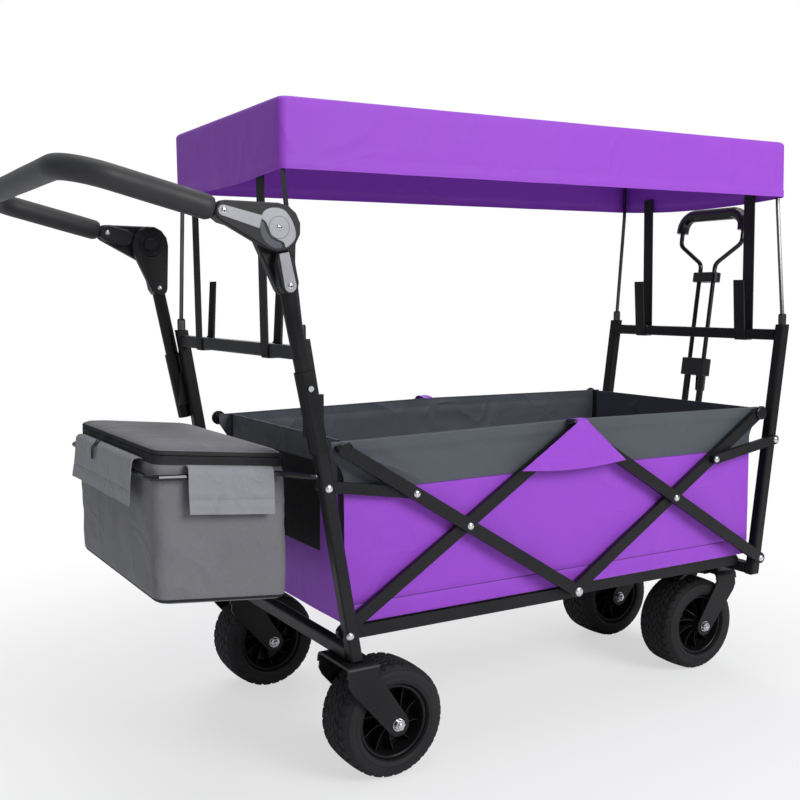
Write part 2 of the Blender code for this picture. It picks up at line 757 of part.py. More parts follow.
def fork(axle_x, top_x):
    """A bent plate fork: a level top and two legs that lean and taper to the axle."""
    half = FORK_LEG_Y + FORK_PLATE
    steps = 4
    profile = []
    for sign in (1, -1):
        arc = [
            (
                sign * (half - FORK_CORNER + FORK_CORNER * math.cos(math.pi / 2 * n / steps)),
                FORK_TOP_Z - FORK_CORNER + FORK_CORNER * math.sin(math.pi / 2 * n / steps),
            )
            for n in range(steps + 1)
        ]
        profile += arc if sign > 0 else arc[::-1]
    foot = WHEEL_Z - FORK_END_RADIUS - 0.002
    outer = [(half, foot)] + profile + [(-half, foot)]
    inner_corner = FORK_CORNER - FORK_PLATE
    inner = [(-FORK_LEG_Y, foot)]
    for sign in (-1, 1):
        arc = [
            (
                sign * (FORK_LEG_Y - inner_corner + inner_corner * math.cos(math.pi / 2 * n / 2)),
                FORK_TOP_Z - FORK_PLATE - inner_corner + inner_corner * math.sin(math.pi / 2 * n / 2),
            )
            for n in range(3)
        ]
        inner += arc if sign < 0 else arc[::-1]
    inner.append((FORK_LEG_Y, foot))
    reach = abs(axle_x - top_x) + FORK_TOP_LENGTH
    bent = plate(outer + inner, -reach, reach)
    bmesh.ops.rotate(bent, verts=bent.verts, matrix=Matrix.Rotation(math.radians(90), 3, "Z"))
    moved(bent, x=top_x)
    top_half = FORK_TOP_LENGTH / 2
    toward = 1 if axle_x > top_x else -1
    side_view = belt(
        (axle_x, WHEEL_Z), FORK_END_RADIUS, (top_x, FORK_TOP_Z - top_half * 0.9), top_half * 0.93
    )
    leg = plate(side_view, -1, 1)
    shoulder = FORK_TOP_Z - 0.016
    top_plate = plate(
        [
            (top_x - top_half, shoulder),
            (top_x + top_half, shoulder),
            (top_x + top_half + toward * FORK_TOP_SKEW, FORK_TOP_Z + 0.001),
            (top_x - top_half + toward * FORK_TOP_SKEW, FORK_TOP_Z + 0.001),
        ],
        -1,
        1,
    )
    silhouette = combined(leg, [top_plate], "UNION")
    bent = combined(bent, [silhouette], "INTERSECT")
    return combined(bent, [axle_bolt(axle_x)], "UNION")


def axle_bolt(x):
    """The bolt through a fork and its wheel, with a domed nut at each end."""
    face = FORK_LEG_Y + FORK_PLATE
    half = [
        (0, face + NUT_HEIGHT),
        (NUT_RADIUS * 0.55, face + NUT_HEIGHT),
        (NUT_RADIUS, face + NUT_HEIGHT * 0.6),
        (NUT_RADIUS, face - 0.001),
        (AXLE_RADIUS, face - 0.001),
    ]
    other = [(radius, -place) for radius, place in reversed(half)]
    return turned(half + other, 12, (x, 0, WHEEL_Z))


def make_rear_forks():
    top_x = rear_post_x(FORK_TOP_Z)
    add_pair(
        "rear_fork",
        lambda: moved(fork(-REAR_AXLE_BACK, top_x), y=REAR_WHEEL_Y),
        "rear_frame",
        black_frame(),
    )


def make_casters():
    axle_x = CASTER_X - CASTER_TRAIL

    def caster():
        pieces = [fork(axle_x, CASTER_X), brake_ear(), mirrored(brake_ear())]
        return moved(fused(pieces), y=CASTER_Y)

    for side_name, side in SIDES.items():
        PIVOTS["caster_" + side_name] = (CASTER_X, side * CASTER_Y, 0)
        PIVOTS["brake_pedal_" + side_name] = (BRAKE_X, side * CASTER_Y, BRAKE_Z)
    add_pair("caster_fork", caster, "caster", black_frame())
    add_pair("brake_pedal", brake_pedal, "brake_pedal", black_plastic())


def brake_ear():
    """A lug on the back edge of a caster's fork that the brake pedal turns between."""
    outline = [
        (BRAKE_X - BRAKE_BARREL, BRAKE_Z - BRAKE_BARREL),
        (BRAKE_X + BRAKE_BARREL + 0.006, BRAKE_Z - BRAKE_BARREL),
        (BRAKE_X + BRAKE_BARREL + 0.006, FORK_TOP_Z - 0.001),
        (BRAKE_X - BRAKE_BARREL, FORK_TOP_Z - 0.001),
    ]
    face = BRAKE_HALF_WIDTH + GAP
    return plate(outline, face, face + 0.0025)


def brake_pedal():
    """The foot pedal behind a caster. Its tip comes down on the tyre."""
    under = [(0.0, -BRAKE_BARREL), (-0.018, 0.0), (-0.048, -0.001), (-0.064, -0.0085)]
    over = [(-0.067, -0.0045), (-0.050, 0.0045), (-0.018, 0.0055), (0.0, BRAKE_BARREL)]
    outline = [(BRAKE_X + x, BRAKE_Z + z) for x, z in under + over]
    outline.append((BRAKE_X + BRAKE_BARREL, BRAKE_Z))
    low, high = CASTER_Y - BRAKE_HALF_WIDTH, CASTER_Y + BRAKE_HALF_WIDTH
    return plate(outline, low, high, chamfer=0.0006)


def tyre():
    """A broad tyre with round shoulders and a shallow channel down the middle of the tread."""
    half = TYRE_WIDTH / 2
    flat = TYRE_RADIUS - 0.0015
    seat = RIM_RADIUS / math.cos(math.pi / WHEEL_SEGMENTS)
    profile = [
        (seat, -half + 0.006),
        (RIM_RADIUS + 0.003, -half + 0.001),
        (TYRE_RADIUS - TYRE_CORNER - 0.006, -half),
        (TYRE_RADIUS - TYRE_CORNER * 0.45, -half + 0.0035),
        (flat, -half + TYRE_CORNER),
        (TYRE_RADIUS, -0.012),
        (TYRE_RADIUS, 0.012),
        (flat, half - TYRE_CORNER),
        (TYRE_RADIUS - TYRE_CORNER * 0.45, half - 0.0035),
        (TYRE_RADIUS - TYRE_CORNER - 0.006, half),
        (RIM_RADIUS + 0.003, half - 0.001),
        (seat, half - 0.006),
    ]
    return turned(profile, WHEEL_SEGMENTS, (0, 0, 0), closed=True, start=-math.pi / 2)


def hub():
    """A moulded hub: barrel, sunken web, boss with an axle bore, and fin ribs on both faces."""
    half = HUB_WIDTH / 2
    outer = RIM_RADIUS - GAP
    barrel = outer - RIM_WALL
    boss_half = TYRE_WIDTH / 2 + FORK_CLEARANCE - 0.001
    bore = AXLE_RADIUS + PIN_GAP
    profile = [
        (outer, -half),
        (outer, half),
        (barrel, half),
        (barrel - 0.002, HUB_WEB / 2),
        (HUB_BOSS_RADIUS, HUB_WEB / 2),
        (HUB_BOSS_RADIUS * 0.8, boss_half),
        (bore, boss_half),
        (bore, -boss_half),
        (HUB_BOSS_RADIUS * 0.8, -boss_half),
        (HUB_BOSS_RADIUS, -HUB_WEB / 2),
        (barrel - 0.002, -HUB_WEB / 2),
        (barrel, -half),
    ]
    body = turned(profile, 2 * HUB_RIBS, (0, 0, 0), closed=True, start=math.pi / 2 / HUB_RIBS)
    ribs = []
    for n in range(HUB_RIBS):
        rib = plate(
            [
                (HUB_BOSS_RADIUS * 0.9, -half * 0.86),
                (barrel + 0.002, -half * 0.5),
                (barrel + 0.002, half * 0.5),
                (HUB_BOSS_RADIUS * 0.9, half * 0.86),
            ],
            -0.0016,
            0.0016,
        )
        bmesh.ops.rotate(rib, verts=rib.verts, matrix=Matrix.Rotation(math.radians(90), 3, "X"))
        ribs.append(turned_about_y(rib, 2 * math.pi * n / HUB_RIBS))
    return fused([body, *ribs])


def make_wheels():
    front_axle = CASTER_X - CASTER_TRAIL
    places = {}
    for side_name, side in SIDES.items():
        places["rear_" + side_name] = (-REAR_AXLE_BACK, side * REAR_WHEEL_Y, WHEEL_Z)
        places["front_" + side_name] = (front_axle, side * CASTER_Y, WHEEL_Z)
    meshes = {}
    for place_name, place in places.items():
        body = "wheel_" + place_name
        PIVOTS[body] = place
        for kind, make, finish in (("tyre", tyre, rubber()), ("hub", hub, black_plastic())):
            if kind in meshes:
                part = bpy.data.objects.new(kind + "_" + place_name, meshes[kind])
                bpy.context.scene.collection.objects.link(part)
                part.parent = body_empty(body)
            else:
                shape = moved(make(), *place)
                meshes[kind] = add_part(kind + "_" + place_name, shape, body, finish).data


def rivet(x, z, low, high):
    """A rivet with a domed head at each end."""
    heads = (RIVET_HEAD_RADIUS, RIVET_HEAD_RADIUS)
    return pin(x, 0, z, RIVET_RADIUS, low, high, 8, heads, RIVET_HEAD)


def rivet_head(x, z, plane):
    """The head on the free face of a link, where another link's end meets it in the next plane."""
    side = -1 if plane == LINK_INNER_Y else 1
    return half_rivet(x, z, plane + side * LINK_DEPTH / 2, side)


def half_rivet(x, z, face, side):
    """A rivet's head on one face of a bar, with the part of its shank inside the bar."""
    seat = face - side * SUNK
    heads = (RIVET_HEAD_RADIUS, 0) if side < 0 else (0, RIVET_HEAD_RADIUS)
    low, high = sorted((seat, seat - side * 0.004))
    return pin(x, 0, z, RIVET_RADIUS, low, high, 8, heads, RIVET_HEAD)


def link_faces():
    """Inner and outer faces of the two link planes, in the order from the middle outwards."""
    inner = (LINK_INNER_Y - LINK_DEPTH / 2 - GAP, LINK_INNER_Y + LINK_DEPTH / 2 + GAP)
    outer = (LINK_OUTER_Y - LINK_DEPTH / 2 - GAP, LINK_OUTER_Y + LINK_DEPTH / 2 + GAP)
    return inner, outer


def link_bar(first, last, centre_y, width=LINK_WIDTH, holes=()):
    """A flat link with round ends in the plane centre_y. Each hole is (x, z, radius)."""
    outline = belt(first, width / 2, last, width / 2, 5)
    cut = [circle(x, z, radius + PIN_GAP, 8) for x, z, radius in holes]
    return plate(outline, centre_y - LINK_DEPTH / 2, centre_y + LINK_DEPTH / 2, cut)


def make_links():
    """The scissor links. The rear ones that rise to the middle lie inside those that fall."""
    inner, outer = link_faces()
    for end_name, end in {"rear": -1, "front": 1}.items():
        foot, cap = (end * HALF_SPAN, LINK_LOW_Z), (end * HALF_SPAN, LINK_HIGH_Z)
        crossing = (end * HALF_SPAN / 2, CROSSING_Z)
        top, bottom = (0, LINK_HIGH_Z), (0, LINK_LOW_Z)
        stay_end = (-end * STAY_END[0], STAY_END[1])
        planes = (LINK_INNER_Y, LINK_OUTER_Y) if end < 0 else (LINK_OUTER_Y, LINK_INNER_Y)
        names = ("inner", "outer") if end < 0 else ("outer", "inner")

        def rising():
            bar = link_bar(foot, top, planes[0], holes=[(*foot, RIVET_RADIUS)])
            return fused([bar, rivet(*crossing, inner[0], outer[1]), rivet_head(*top, planes[0])])

        def falling():
            bar = link_bar(cap, bottom, planes[1], holes=[(*crossing, RIVET_RADIUS)])
            heads = [rivet_head(*bottom, planes[1]), rivet_head(*stay_end, planes[1])]
            return fused([bar, end_cap(*cap, planes[1]), *heads])

        for name, make in zip(names, (rising, falling)):
            node = "%s_%s_link" % (end_name, name)
            add_pair(node, make, node + "s", black_frame())


def end_cap(x, z, centre_y):
    """The round plastic cap on the top end of a link, with the stem that carries the tub."""
    low, high = RAIL_Y + CLOTH / 2 + GAP, centre_y + LINK_DEPTH / 2
    profile = [
        (0, low),
        (0.0045, low),
        (0.0045, high - 0.001),
        (END_CAP_RADIUS, high - 0.001),
        (END_CAP_RADIUS, high + 0.003),
        (END_CAP_RADIUS * 0.8, high + 0.0042),
        (0, high + 0.0042),
    ]
    return turned(profile, 12, (x, 0, z), start=0.2)


def make_stays():
    """Short links from the posts to the falling links, which stop the wagon opening too far."""
    for end_name, end in {"rear": -1, "front": 1}.items():
        root = (-end * STAY_X, STAY_Z)
        tip = (-end * STAY_END[0], STAY_END[1])
        plane = LINK_INNER_Y if end < 0 else LINK_OUTER_Y

        def stay():
            bar = link_bar(root, tip, plane, STAY_WIDTH, [(*root, RIVET_RADIUS)])
            return fused([bar, rivet_head(*tip, plane)])

        add_pair(end_name + "_stay_link", stay, end_name + "_stays", black_frame())


def make_bed():
    """Two ladder frames that hinge at the crossbars and rise in the middle as the wagon folds.

    The front rails lie inside the rear ones, so the two frames pass each other like scissors.
    """
    for end_name, end, rail_y in (("rear", -1, RAIL_Y), ("front", 1, FRONT_RAIL_Y)):
        hinge = (end * BED_HINGE_X, BED_HINGE_Z)
        low_y, high_y = rail_y - RAIL_WIDTH / 2, rail_y + RAIL_WIDTH / 2

        def half_frame():
            outline = belt(hinge, RAIL_HEIGHT / 2, (0, BED_HINGE_Z), RAIL_HEIGHT / 2)
            rail = plate(outline, low_y, high_y)
            ear_face = low_y - LINK_GAP - HINGE_PLATE - GAP
            heads = (RIVET_HEAD_RADIUS, 0)
            reach = low_y + RAIL_WIDTH / 2
            hinge_pin = pin(hinge[0], 0, hinge[1], RIVET_RADIUS, ear_face, reach, 8, heads, RIVET_HEAD)
            middle_pin = [half_rivet(0, BED_HINGE_Z, low_y, -1)] if end > 0 else []
            return [rail, hinge_pin, *middle_pin]

        pieces = half_frame() + [mirrored(piece) for piece in half_frame()]
        for distance in CROSS_TUBE_PLACES:
            x = hinge[0] - end * distance
            width, height = CROSS_TUBE_WIDTH / 2, RAIL_HEIGHT * 0.4
            low = (x - width, -low_y - 0.001, BED_HINGE_Z - height)
            pieces.append(brick(low, (x + width, low_y + 0.001, BED_HINGE_Z + height)))
        add_part("bed_" + end_name, fused(pieces), "bed_" + end_name, black_frame())
        bottom = RAIL_BOTTOM_Z + RAIL_HEIGHT + GAP
        near, far = sorted((hinge[0] + end * 0.009, end * 0.001))
        half_width = RAIL_Y - CLOTH
        floor = brick((near, -half_width, bottom), (far, half_width, bottom + FLOOR_THICKNESS))
        add_part("floor_" + end_name, floor, "bed_" + end_name, grey_cloth())


def make_tub():
    """The fabric tub: stiffened end walls and soft side walls with a flap over the top joint."""
    bottom = RAIL_BOTTOM_Z + RAIL_HEIGHT + 0.0025
    wall_half = RAIL_Y - CLOTH / 2
    wall_x = TUB_HALF_LENGTH
    for end_name, end in {"rear": -1, "front": 1}.items():
        near, far = sorted((end * wall_x, end * (wall_x - CLOTH)))
        wall = brick((near, -wall_half, bottom), (far, wall_half, TUB_TOP_Z - 0.004))
        add_part("tub_%s_wall" % end_name, wall, "tub_" + end_name, purple_cloth())
    low = wall_half + GAP
    outside = LINK_OUTER_Y + LINK_DEPTH / 2 + RIVET_HEAD + 3 * GAP

    def side_wall():
        half = [
            (wall_x - 0.002, bottom),
            (wall_x - 0.002, LINK_HIGH_Z - 0.040),
            (HALF_SPAN + TUB_CORNER, LINK_HIGH_Z - TUB_CORNER),
            (HALF_SPAN + TUB_CORNER, TUB_TOP_Z - 0.006),
            (0.012, TUB_TOP_Z),
        ]
        outline = half + [(-x, z) for x, z in reversed(half)]
        wall = plate(outline, low, low + CLOTH - 2 * GAP)
        over = brick((-0.012, low, TUB_TOP_Z - 0.001), (0.012, outside + 0.002, TUB_TOP_Z + 0.0015))
        return fused([wall, over, flap()])

    def flap():
        bottom_edge = []
        steps = 8
        for n in range(steps + 1):
            share = n / steps
            x = -TUB_FLAP_BACK + (TUB_FLAP_BACK + TUB_FLAP_AHEAD) * share
            droop = 0.006 * math.sin(math.pi * share)
            bottom_edge.append((x, TUB_TOP_Z - TUB_FLAP_DROP - droop))
        outline = bottom_edge + [(0.012, TUB_TOP_Z + 0.001), (-0.012, TUB_TOP_Z + 0.001)]
        return plate(outline, outside, outside + 0.002)

    add_pair("tub_side", side_wall, "tub_rear", purple_cloth())


def bow(foot_x, foot_y, top_x):
    """A canopy bow: a rod up from one post, across under the canopy and down to the other."""
    top_z = CANOPY_TOP_Z - CLOTH - 2 * GAP - BOW_RADIUS
    top_y = CANOPY_HALF_WIDTH - CLOTH - BOW_RADIUS - 0.004
    foot_z = POST_TOP_Z + GAP
    knee_z = CANOPY_TOP_Z - VALANCE_DROP - 0.010
    start_z = foot_z + BOW_RADIUS
    half = [(foot_x, foot_y, start_z), (top_x, top_y, knee_z), (top_x, top_y, top_z)]
    other = [(x, -y, z) for x, y, z in reversed(half)]
    path = rounded_path(half + other, [0.20, 0.022, 0.022, 0.20], 3)
    rod = swept(path, tube_section(BOW_RADIUS, 8), (1, 0, 0))
    lean = (foot_y - top_y) / (knee_z - foot_z)
    profile = [
        (0, foot_z),
        (SOCKET_RADIUS, foot_z),
        (SOCKET_RADIUS, foot_z + SOCKET_HEIGHT * 0.85),
        (SOCKET_RADIUS * 0.8, foot_z + SOCKET_HEIGHT),
        (0, foot_z + SOCKET_HEIGHT),
    ]
    sockets = []
    for side in SIDES.values():
        place = (foot_x, side * (foot_y - lean * SOCKET_HEIGHT / 2), 0)
        sockets.append(turned(profile, 10, place, axis="Z"))
    return fused([rod, *sockets])


def canopy_surface():
    """The canopy's cloth: a top that sags a little, and a valance that hangs all round."""
    shape = bmesh.new()
    columns, rows = 16, 8
    low_x, high_x = -CANOPY_BACK, CANOPY_AHEAD
    grid = []
    for i in range(columns + 1):
        u = i / columns
        line = []
        for j in range(rows + 1):
            v = j / rows
            sag = CANOPY_SAG * math.sin(math.pi * u) * math.sin(math.pi * v)
            x = low_x + (high_x - low_x) * u
            y = CANOPY_HALF_WIDTH * (2 * v - 1)
            line.append(shape.verts.new((x, y, CANOPY_TOP_Z - sag)))
        grid.append(line)
    for i in range(columns):
        for j in range(rows):
            shape.faces.new((grid[i][j], grid[i + 1][j], grid[i + 1][j + 1], grid[i][j + 1]))
    rim = [grid[i][0] for i in range(columns)] + [grid[columns][j] for j in range(rows)]
    rim += [grid[i][rows] for i in range(columns, 0, -1)] + [grid[0][j] for j in range(rows, 0, -1)]
    hems = []
    for vert in rim:
        across = (vert.co.y / CANOPY_HALF_WIDTH) ** 2
        on_end = vert.co.x in (grid[0][0].co.x, grid[columns][0].co.x)
        droop = CANOPY_END_DROOP * (1 - across) if on_end else 0.0
        hems.append(shape.verts.new((vert.co.x, vert.co.y, CANOPY_TOP_Z - VALANCE_DROP - droop)))
    for n in range(len(rim)):
        m = (n + 1) % len(rim)
        shape.faces.new((rim[m], rim[n], hems[n], hems[m]))
    bmesh.ops.recalc_face_normals(shape, faces=shape.faces)
    if grid[1][1].normal.z < 0:
        bmesh.ops.reverse_faces(shape, faces=shape.faces)
    return shape


def make_canopy():
    rear_foot, front_foot = rear_post_x(POST_TOP_Z), front_post_x(POST_TOP_Z)
    inset = CLOTH + BOW_RADIUS + 0.002
    rear_bow = bow(rear_foot, REAR_POST_Y, -CANOPY_BACK + inset)
    front_bow = bow(front_foot, FRONT_POST_Y, CANOPY_AHEAD - inset)
    add_part("rear_canopy_bow", rear_bow, "rear_frame", black_frame())
    add_part("front_canopy_bow", front_bow, "front_frame", black_frame())
    canopy = add_part("canopy", canopy_surface(), "rear_frame", purple_cloth())
    thicken = canopy.modifiers.new("cloth_thickness", "SOLIDIFY")
    thicken.thickness = CLOTH
    thicken.offset = -1


def canopy_strap(end, bar_x):
    """Webbing from inside the canopy down round a crossbar, with its end turned up again."""
    inside = TUBE / 2 - 0.0002
    outside = TUBE / 2 + STRAP_THICKNESS
    canopy_end = CANOPY_BACK if end < 0 else CANOPY_AHEAD
    top = CANOPY_TOP_Z - VALANCE_DROP + 0.022
    top_x = end * (canopy_end - CLOTH - 2 * GAP)
    bottom = UPPER_BAR_Z - inside
    tail = UPPER_BAR_Z + STRAP_TAIL
    corner = 0.002
    outline = [
        (top_x, top),
        (bar_x + end * outside, bottom + corner),
        (bar_x + end * (outside - corner), bottom - STRAP_THICKNESS),
        (bar_x - end * (outside - corner), bottom - STRAP_THICKNESS),
        (bar_x - end * outside, bottom + corner),
        (bar_x - end * (outside + 0.006), tail),
        (bar_x - end * (outside + 0.006 - STRAP_THICKNESS), tail),
        (bar_x - end * inside, UPPER_BAR_Z + TUBE / 2 + 0.002),
        (bar_x - end * inside, bottom),
        (bar_x + end * inside, bottom),
        (bar_x + end * inside, UPPER_BAR_Z + TUBE / 2 + 0.002),
        (top_x - end * STRAP_THICKNESS, top),
    ]
    return plate(outline, -STRAP_WIDTH / 2, STRAP_WIDTH / 2)


def handle_point(distance, y=HANDLE_Y):
    """A point on a push handle tube, by its distance down from the knuckle's axis."""
    down = Vector((HANDLE_LEAN, 0, -1)).normalized()
    place = Vector((-KNUCKLE_BACK, 0, KNUCKLE_Z)) + down * distance
    return Vector((place.x, y, place.z))


def snap_groove():
    """The groove down a handle tube's outer side that the snap button's tip runs in."""
    clear = SNAP_BUTTON_RADIUS + PIN_GAP
    path = [handle_point(SNAP_AT - clear), handle_point(SNAP_AT + HANDLE_TRAVEL + clear)]
    section = [
        (SNAP_GROOVE_FLOOR, -clear),
        (SNAP_GROOVE_FLOOR, clear),
        (0.02, clear),
        (0.02, -clear),
    ]
    return swept(path, section, (0, 1, 0))


def make_push_handle():
    place = handle_point(SNAP_AT)
    button_y = HANDLE_Y - KNUCKLE_HALF_WIDTH - KNUCKLE_BUTTON_STANDS
    for side_name, side in SIDES.items():
        PIVOTS["knuckle_button_" + side_name] = (-KNUCKLE_BACK, side * button_y, KNUCKLE_Z)
        PIVOTS["snap_button_" + side_name] = (place.x, side * place.y, place.z)

    def push_tube():
        path = [handle_point(KNUCKLE_ARM - 0.030), handle_point(SLEEVE_TOP + HANDLE_TUBE_BURIED)]
        solid = swept(path, tube_section(HANDLE_TUBE_RADIUS, 14), (0, 1, 0))
        return fused([combined(solid, [snap_groove()], "DIFFERENCE"), lower_knuckle()])

    def snap_button():
        high = SLEEVE_RADIUS + SNAP_BUTTON_STANDS
        return pin(*place, SNAP_BUTTON_RADIUS, SNAP_BUTTON_TIP, high, 12)

    add_pair("push_tube", push_tube, "push_handle", black_frame())
    add_pair("knuckle", upper_knuckle, "push_grip", black_plastic())
    add_part("push_grip", grip(), "push_grip", foam())
    add_pair("snap_button", snap_button, "snap_button", bright_steel())
    add_pair("knuckle_button", knuckle_button, "knuckle_button", black_plastic())


def sleeve_block():
    """The sleeve on a rear post that a handle tube slides in, and the block that holds it."""
    path = [handle_point(SLEEVE_TOP), handle_point(SLEEVE_TOP + SLEEVE_LENGTH)]
    shell = swept(path, tube_section(SLEEVE_RADIUS, 14), (0, 1, 0))
    middle = handle_point(SLEEVE_TOP + SLEEVE_LENGTH * 0.55)
    block = brick(
        (middle.x - 0.006, REAR_POST_Y + TUBE / 2 - 0.003, middle.z - SLEEVE_BLOCK / 2),
        (rear_post_x(middle.z) + 0.006, HANDLE_Y - 0.004, middle.z + SLEEVE_BLOCK / 2),
    )
    return fused([shell, block])


def sleeve_bore():
    """What is bored out of a sleeve for the handle tube and its snap button."""
    path = [handle_point(SLEEVE_TOP - 0.01), handle_point(SLEEVE_TOP + SLEEVE_LENGTH + 0.01)]
    bore = swept(path, tube_section(HANDLE_TUBE_RADIUS + 2 * GAP, 14), (0, 1, 0))
    place = handle_point(SNAP_AT)
    return fused([bore, pin(*place, SNAP_BUTTON_RADIUS + PIN_GAP, 0, 0.03, 12)])


def arm_direction(lower):
    """Which way a knuckle's arm points from its axis, in the XZ plane."""
    if lower:
        step = Vector((HANDLE_LEAN, -1)).normalized()
        return (step.x, step.y)
    return (-math.cos(GRIP_RISE), math.sin(GRIP_RISE))


def knuckle_half(lower, low_y, high_y, button_bore):
    """Half of a handle's knuckle: a round cheek, and an arm as wide as the whole knuckle."""
    ax, az = arm_direction(lower)
    centre = (-KNUCKLE_BACK, KNUCKLE_Z)
    clear = KNUCKLE_RADIUS + 0.0012
    start = (centre[0] + ax * (clear + 0.010), centre[1] + az * (clear + 0.010))
    end = (centre[0] + ax * (KNUCKLE_ARM - 0.010), centre[1] + az * (KNUCKLE_ARM - 0.010))
    cheek = plate(
        belt(centre, KNUCKLE_RADIUS, end, KNUCKLE_ARM_RADIUS, 8),
        HANDLE_Y + low_y,
        HANDLE_Y + high_y,
        chamfer=0.002,
    )
    arm = plate(
        belt(start, KNUCKLE_ARM_RADIUS, end, KNUCKLE_ARM_RADIUS * 0.98, 4),
        HANDLE_Y - KNUCKLE_HALF_WIDTH,
        HANDLE_Y + KNUCKLE_HALF_WIDTH,
        chamfer=0.0025,
    )
    keep_out = pin(*(centre[0], HANDLE_Y, centre[1]), clear, -0.03, 0.03, 20)
    arm = combined(arm, [keep_out], "DIFFERENCE")
    half = combined(cheek, [arm], "UNION")
    if button_bore:
        bore = pin(
            centre[0], HANDLE_Y, centre[1], KNUCKLE_BUTTON_RADIUS + PIN_GAP, -0.03, -0.006, 16
        )
        half = combined(half, [bore], "DIFFERENCE")
    return half


def lower_knuckle():
    """The inner cheek, fixed on the tube, with the release button's bore."""
    return knuckle_half(True, -KNUCKLE_HALF_WIDTH, -GAP, True)


def upper_knuckle():
    """The outer cheek, which turns with the grip."""
    return knuckle_half(False, GAP, KNUCKLE_HALF_WIDTH, False)


def knuckle_button():
    """The release button on the inner side of a knuckle."""
    inner = HANDLE_Y - KNUCKLE_HALF_WIDTH - KNUCKLE_BUTTON_STANDS
    profile = [
        (0, inner),
        (KNUCKLE_BUTTON_RADIUS * 0.8, inner),
        (KNUCKLE_BUTTON_RADIUS, inner + 0.0015),
        (KNUCKLE_BUTTON_RADIUS, inner + 0.0085),
        (0, inner + 0.0085),
    ]
    return turned(profile, 16, (-KNUCKLE_BACK, 0, KNUCKLE_Z))


def grip():
    """The foam-covered U that is pushed."""
    ax, az = arm_direction(False)

    def at(distance, y):
        return (-KNUCKLE_BACK + ax * distance, y, KNUCKLE_Z + az * distance)

    start = KNUCKLE_ARM + KNUCKLE_ARM_RADIUS - 0.010 + GAP
    corners = [at(start, HANDLE_Y), at(GRIP_LENGTH, HANDLE_Y)]
    corners += [at(GRIP_LENGTH, -HANDLE_Y), at(start, -HANDLE_Y)]
    path = rounded_path(corners, [GRIP_CORNER, GRIP_CORNER], 6)
    return swept(path, tube_section(GRIP_RADIUS, 12), (0, 0, 1))


def pull_place(across, along, out=0.0):
    """A point of the pull handle: across the wagon, along the handle and out to the front."""
    x = PULL_X + along * math.sin(PULL_LEAN) + out * math.cos(PULL_LEAN)
    z = PULL_PIVOT_Z + along * math.cos(PULL_LEAN) - out * math.sin(PULL_LEAN)
    return (x, across, z)


def lean_forward(shape):
    """Put a shape made upright round the origin into the pull handle's place."""
    bmesh.ops.rotate(shape, verts=shape.verts, matrix=Matrix.Rotation(PULL_LEAN, 3, "Y"))
    return moved(shape, x=PULL_X, z=PULL_PIVOT_Z)


def make_pull_handle():
    rod_bore = PULL_ROD_RADIUS + PIN_GAP
    foot_half = PULL_ROD_Y + PULL_TUBE_RADIUS + 0.002
    clamp_low = PULL_TUBE_TOP - PULL_CLAMP_HEIGHT + 0.012
    clamp_half_depth = 0.013

    def outer_tube():
        profile = [
            (0, 0.002),
            (PULL_TUBE_RADIUS, 0.002),
            (PULL_TUBE_RADIUS, PULL_TUBE_TOP),
            (rod_bore, PULL_TUBE_TOP),
            (rod_bore, 0.014),
            (0, 0.014),
        ]
        return turned(profile, 10, (0, PULL_ROD_Y, 0), axis="Z")

    foot = plate(belt((0, 0), 0.0085, (0, 0.004), 0.0085, 6), -foot_half, foot_half, chamfer=0.001)
    foot_pin = pin(0, 0, 0, RIVET_RADIUS, -foot_half - 0.006, foot_half + 0.006, 8)
    clamp = rod_block(clamp_low, clamp_low + PULL_CLAMP_HEIGHT, 0.031, clamp_half_depth, [rod_bore])
    pieces = [foot, foot_pin, outer_tube(), mirrored(outer_tube()), clamp]
    add_part("pull_tubes", lean_forward(fused(pieces)), "pull_handle", black_frame())
    axis = (clamp_half_depth + 0.0045, clamp_low + 0.012)
    PIVOTS["pull_lever"] = pull_place(0, axis[1], axis[0])
    tip = (axis[0] + 0.002, axis[1] - 0.040)
    lever = plate(belt(axis, 0.0042, tip, 0.003, 6), -0.011, 0.011, chamfer=0.0008)
    add_part("pull_lever", lean_forward(lever), "pull_lever", black_plastic())
    collar = rod_block(PULL_COLLAR_AT - 0.010, PULL_COLLAR_AT + 0.010, 0.032, 0.010, [])
    loop_pieces = [lean_forward(collar), pull_rod(), mirrored(pull_rod()), pull_grip()]
    add_part("pull_loop", fused(loop_pieces), "pull_loop", black_plastic())


def rod_block(low, high, half_width, half_depth, bore_radii):
    """A moulded block round the two rods of the pull handle."""
    outline = rounded_rectangle(0, 0, 2 * half_width, 2 * half_depth, 0.006, 2)
    bores = [circle(y, 0, radius, 10) for radius in bore_radii for y in (-PULL_ROD_Y, PULL_ROD_Y)]
    shape = plate(outline, low, high, bores, 0.001)
    bmesh.ops.rotate(shape, verts=shape.verts, matrix=Matrix.Rotation(math.radians(90), 3, "X"))
    bmesh.ops.rotate(shape, verts=shape.verts, matrix=Matrix.Rotation(math.radians(90), 3, "Z"))
    return shape


def pull_rod():
    """One bent rod of the pull loop, from inside its tube up into the grip."""
    corners = [
        pull_place(PULL_ROD_Y, PULL_ROD_BOTTOM),
        pull_place(PULL_ROD_Y, PULL_COLLAR_AT + 0.028),
        pull_place(PULL_LOOP_HALF, PULL_LOOP_TOP - 0.062),
        pull_place(PULL_LOOP_HALF, PULL_LOOP_TOP - 0.030),
    ]
    path = rounded_path(corners, [0.016, 0.016], 3)
    return swept(path, tube_section(PULL_ROD_RADIUS, 8), (0, 1, 0))


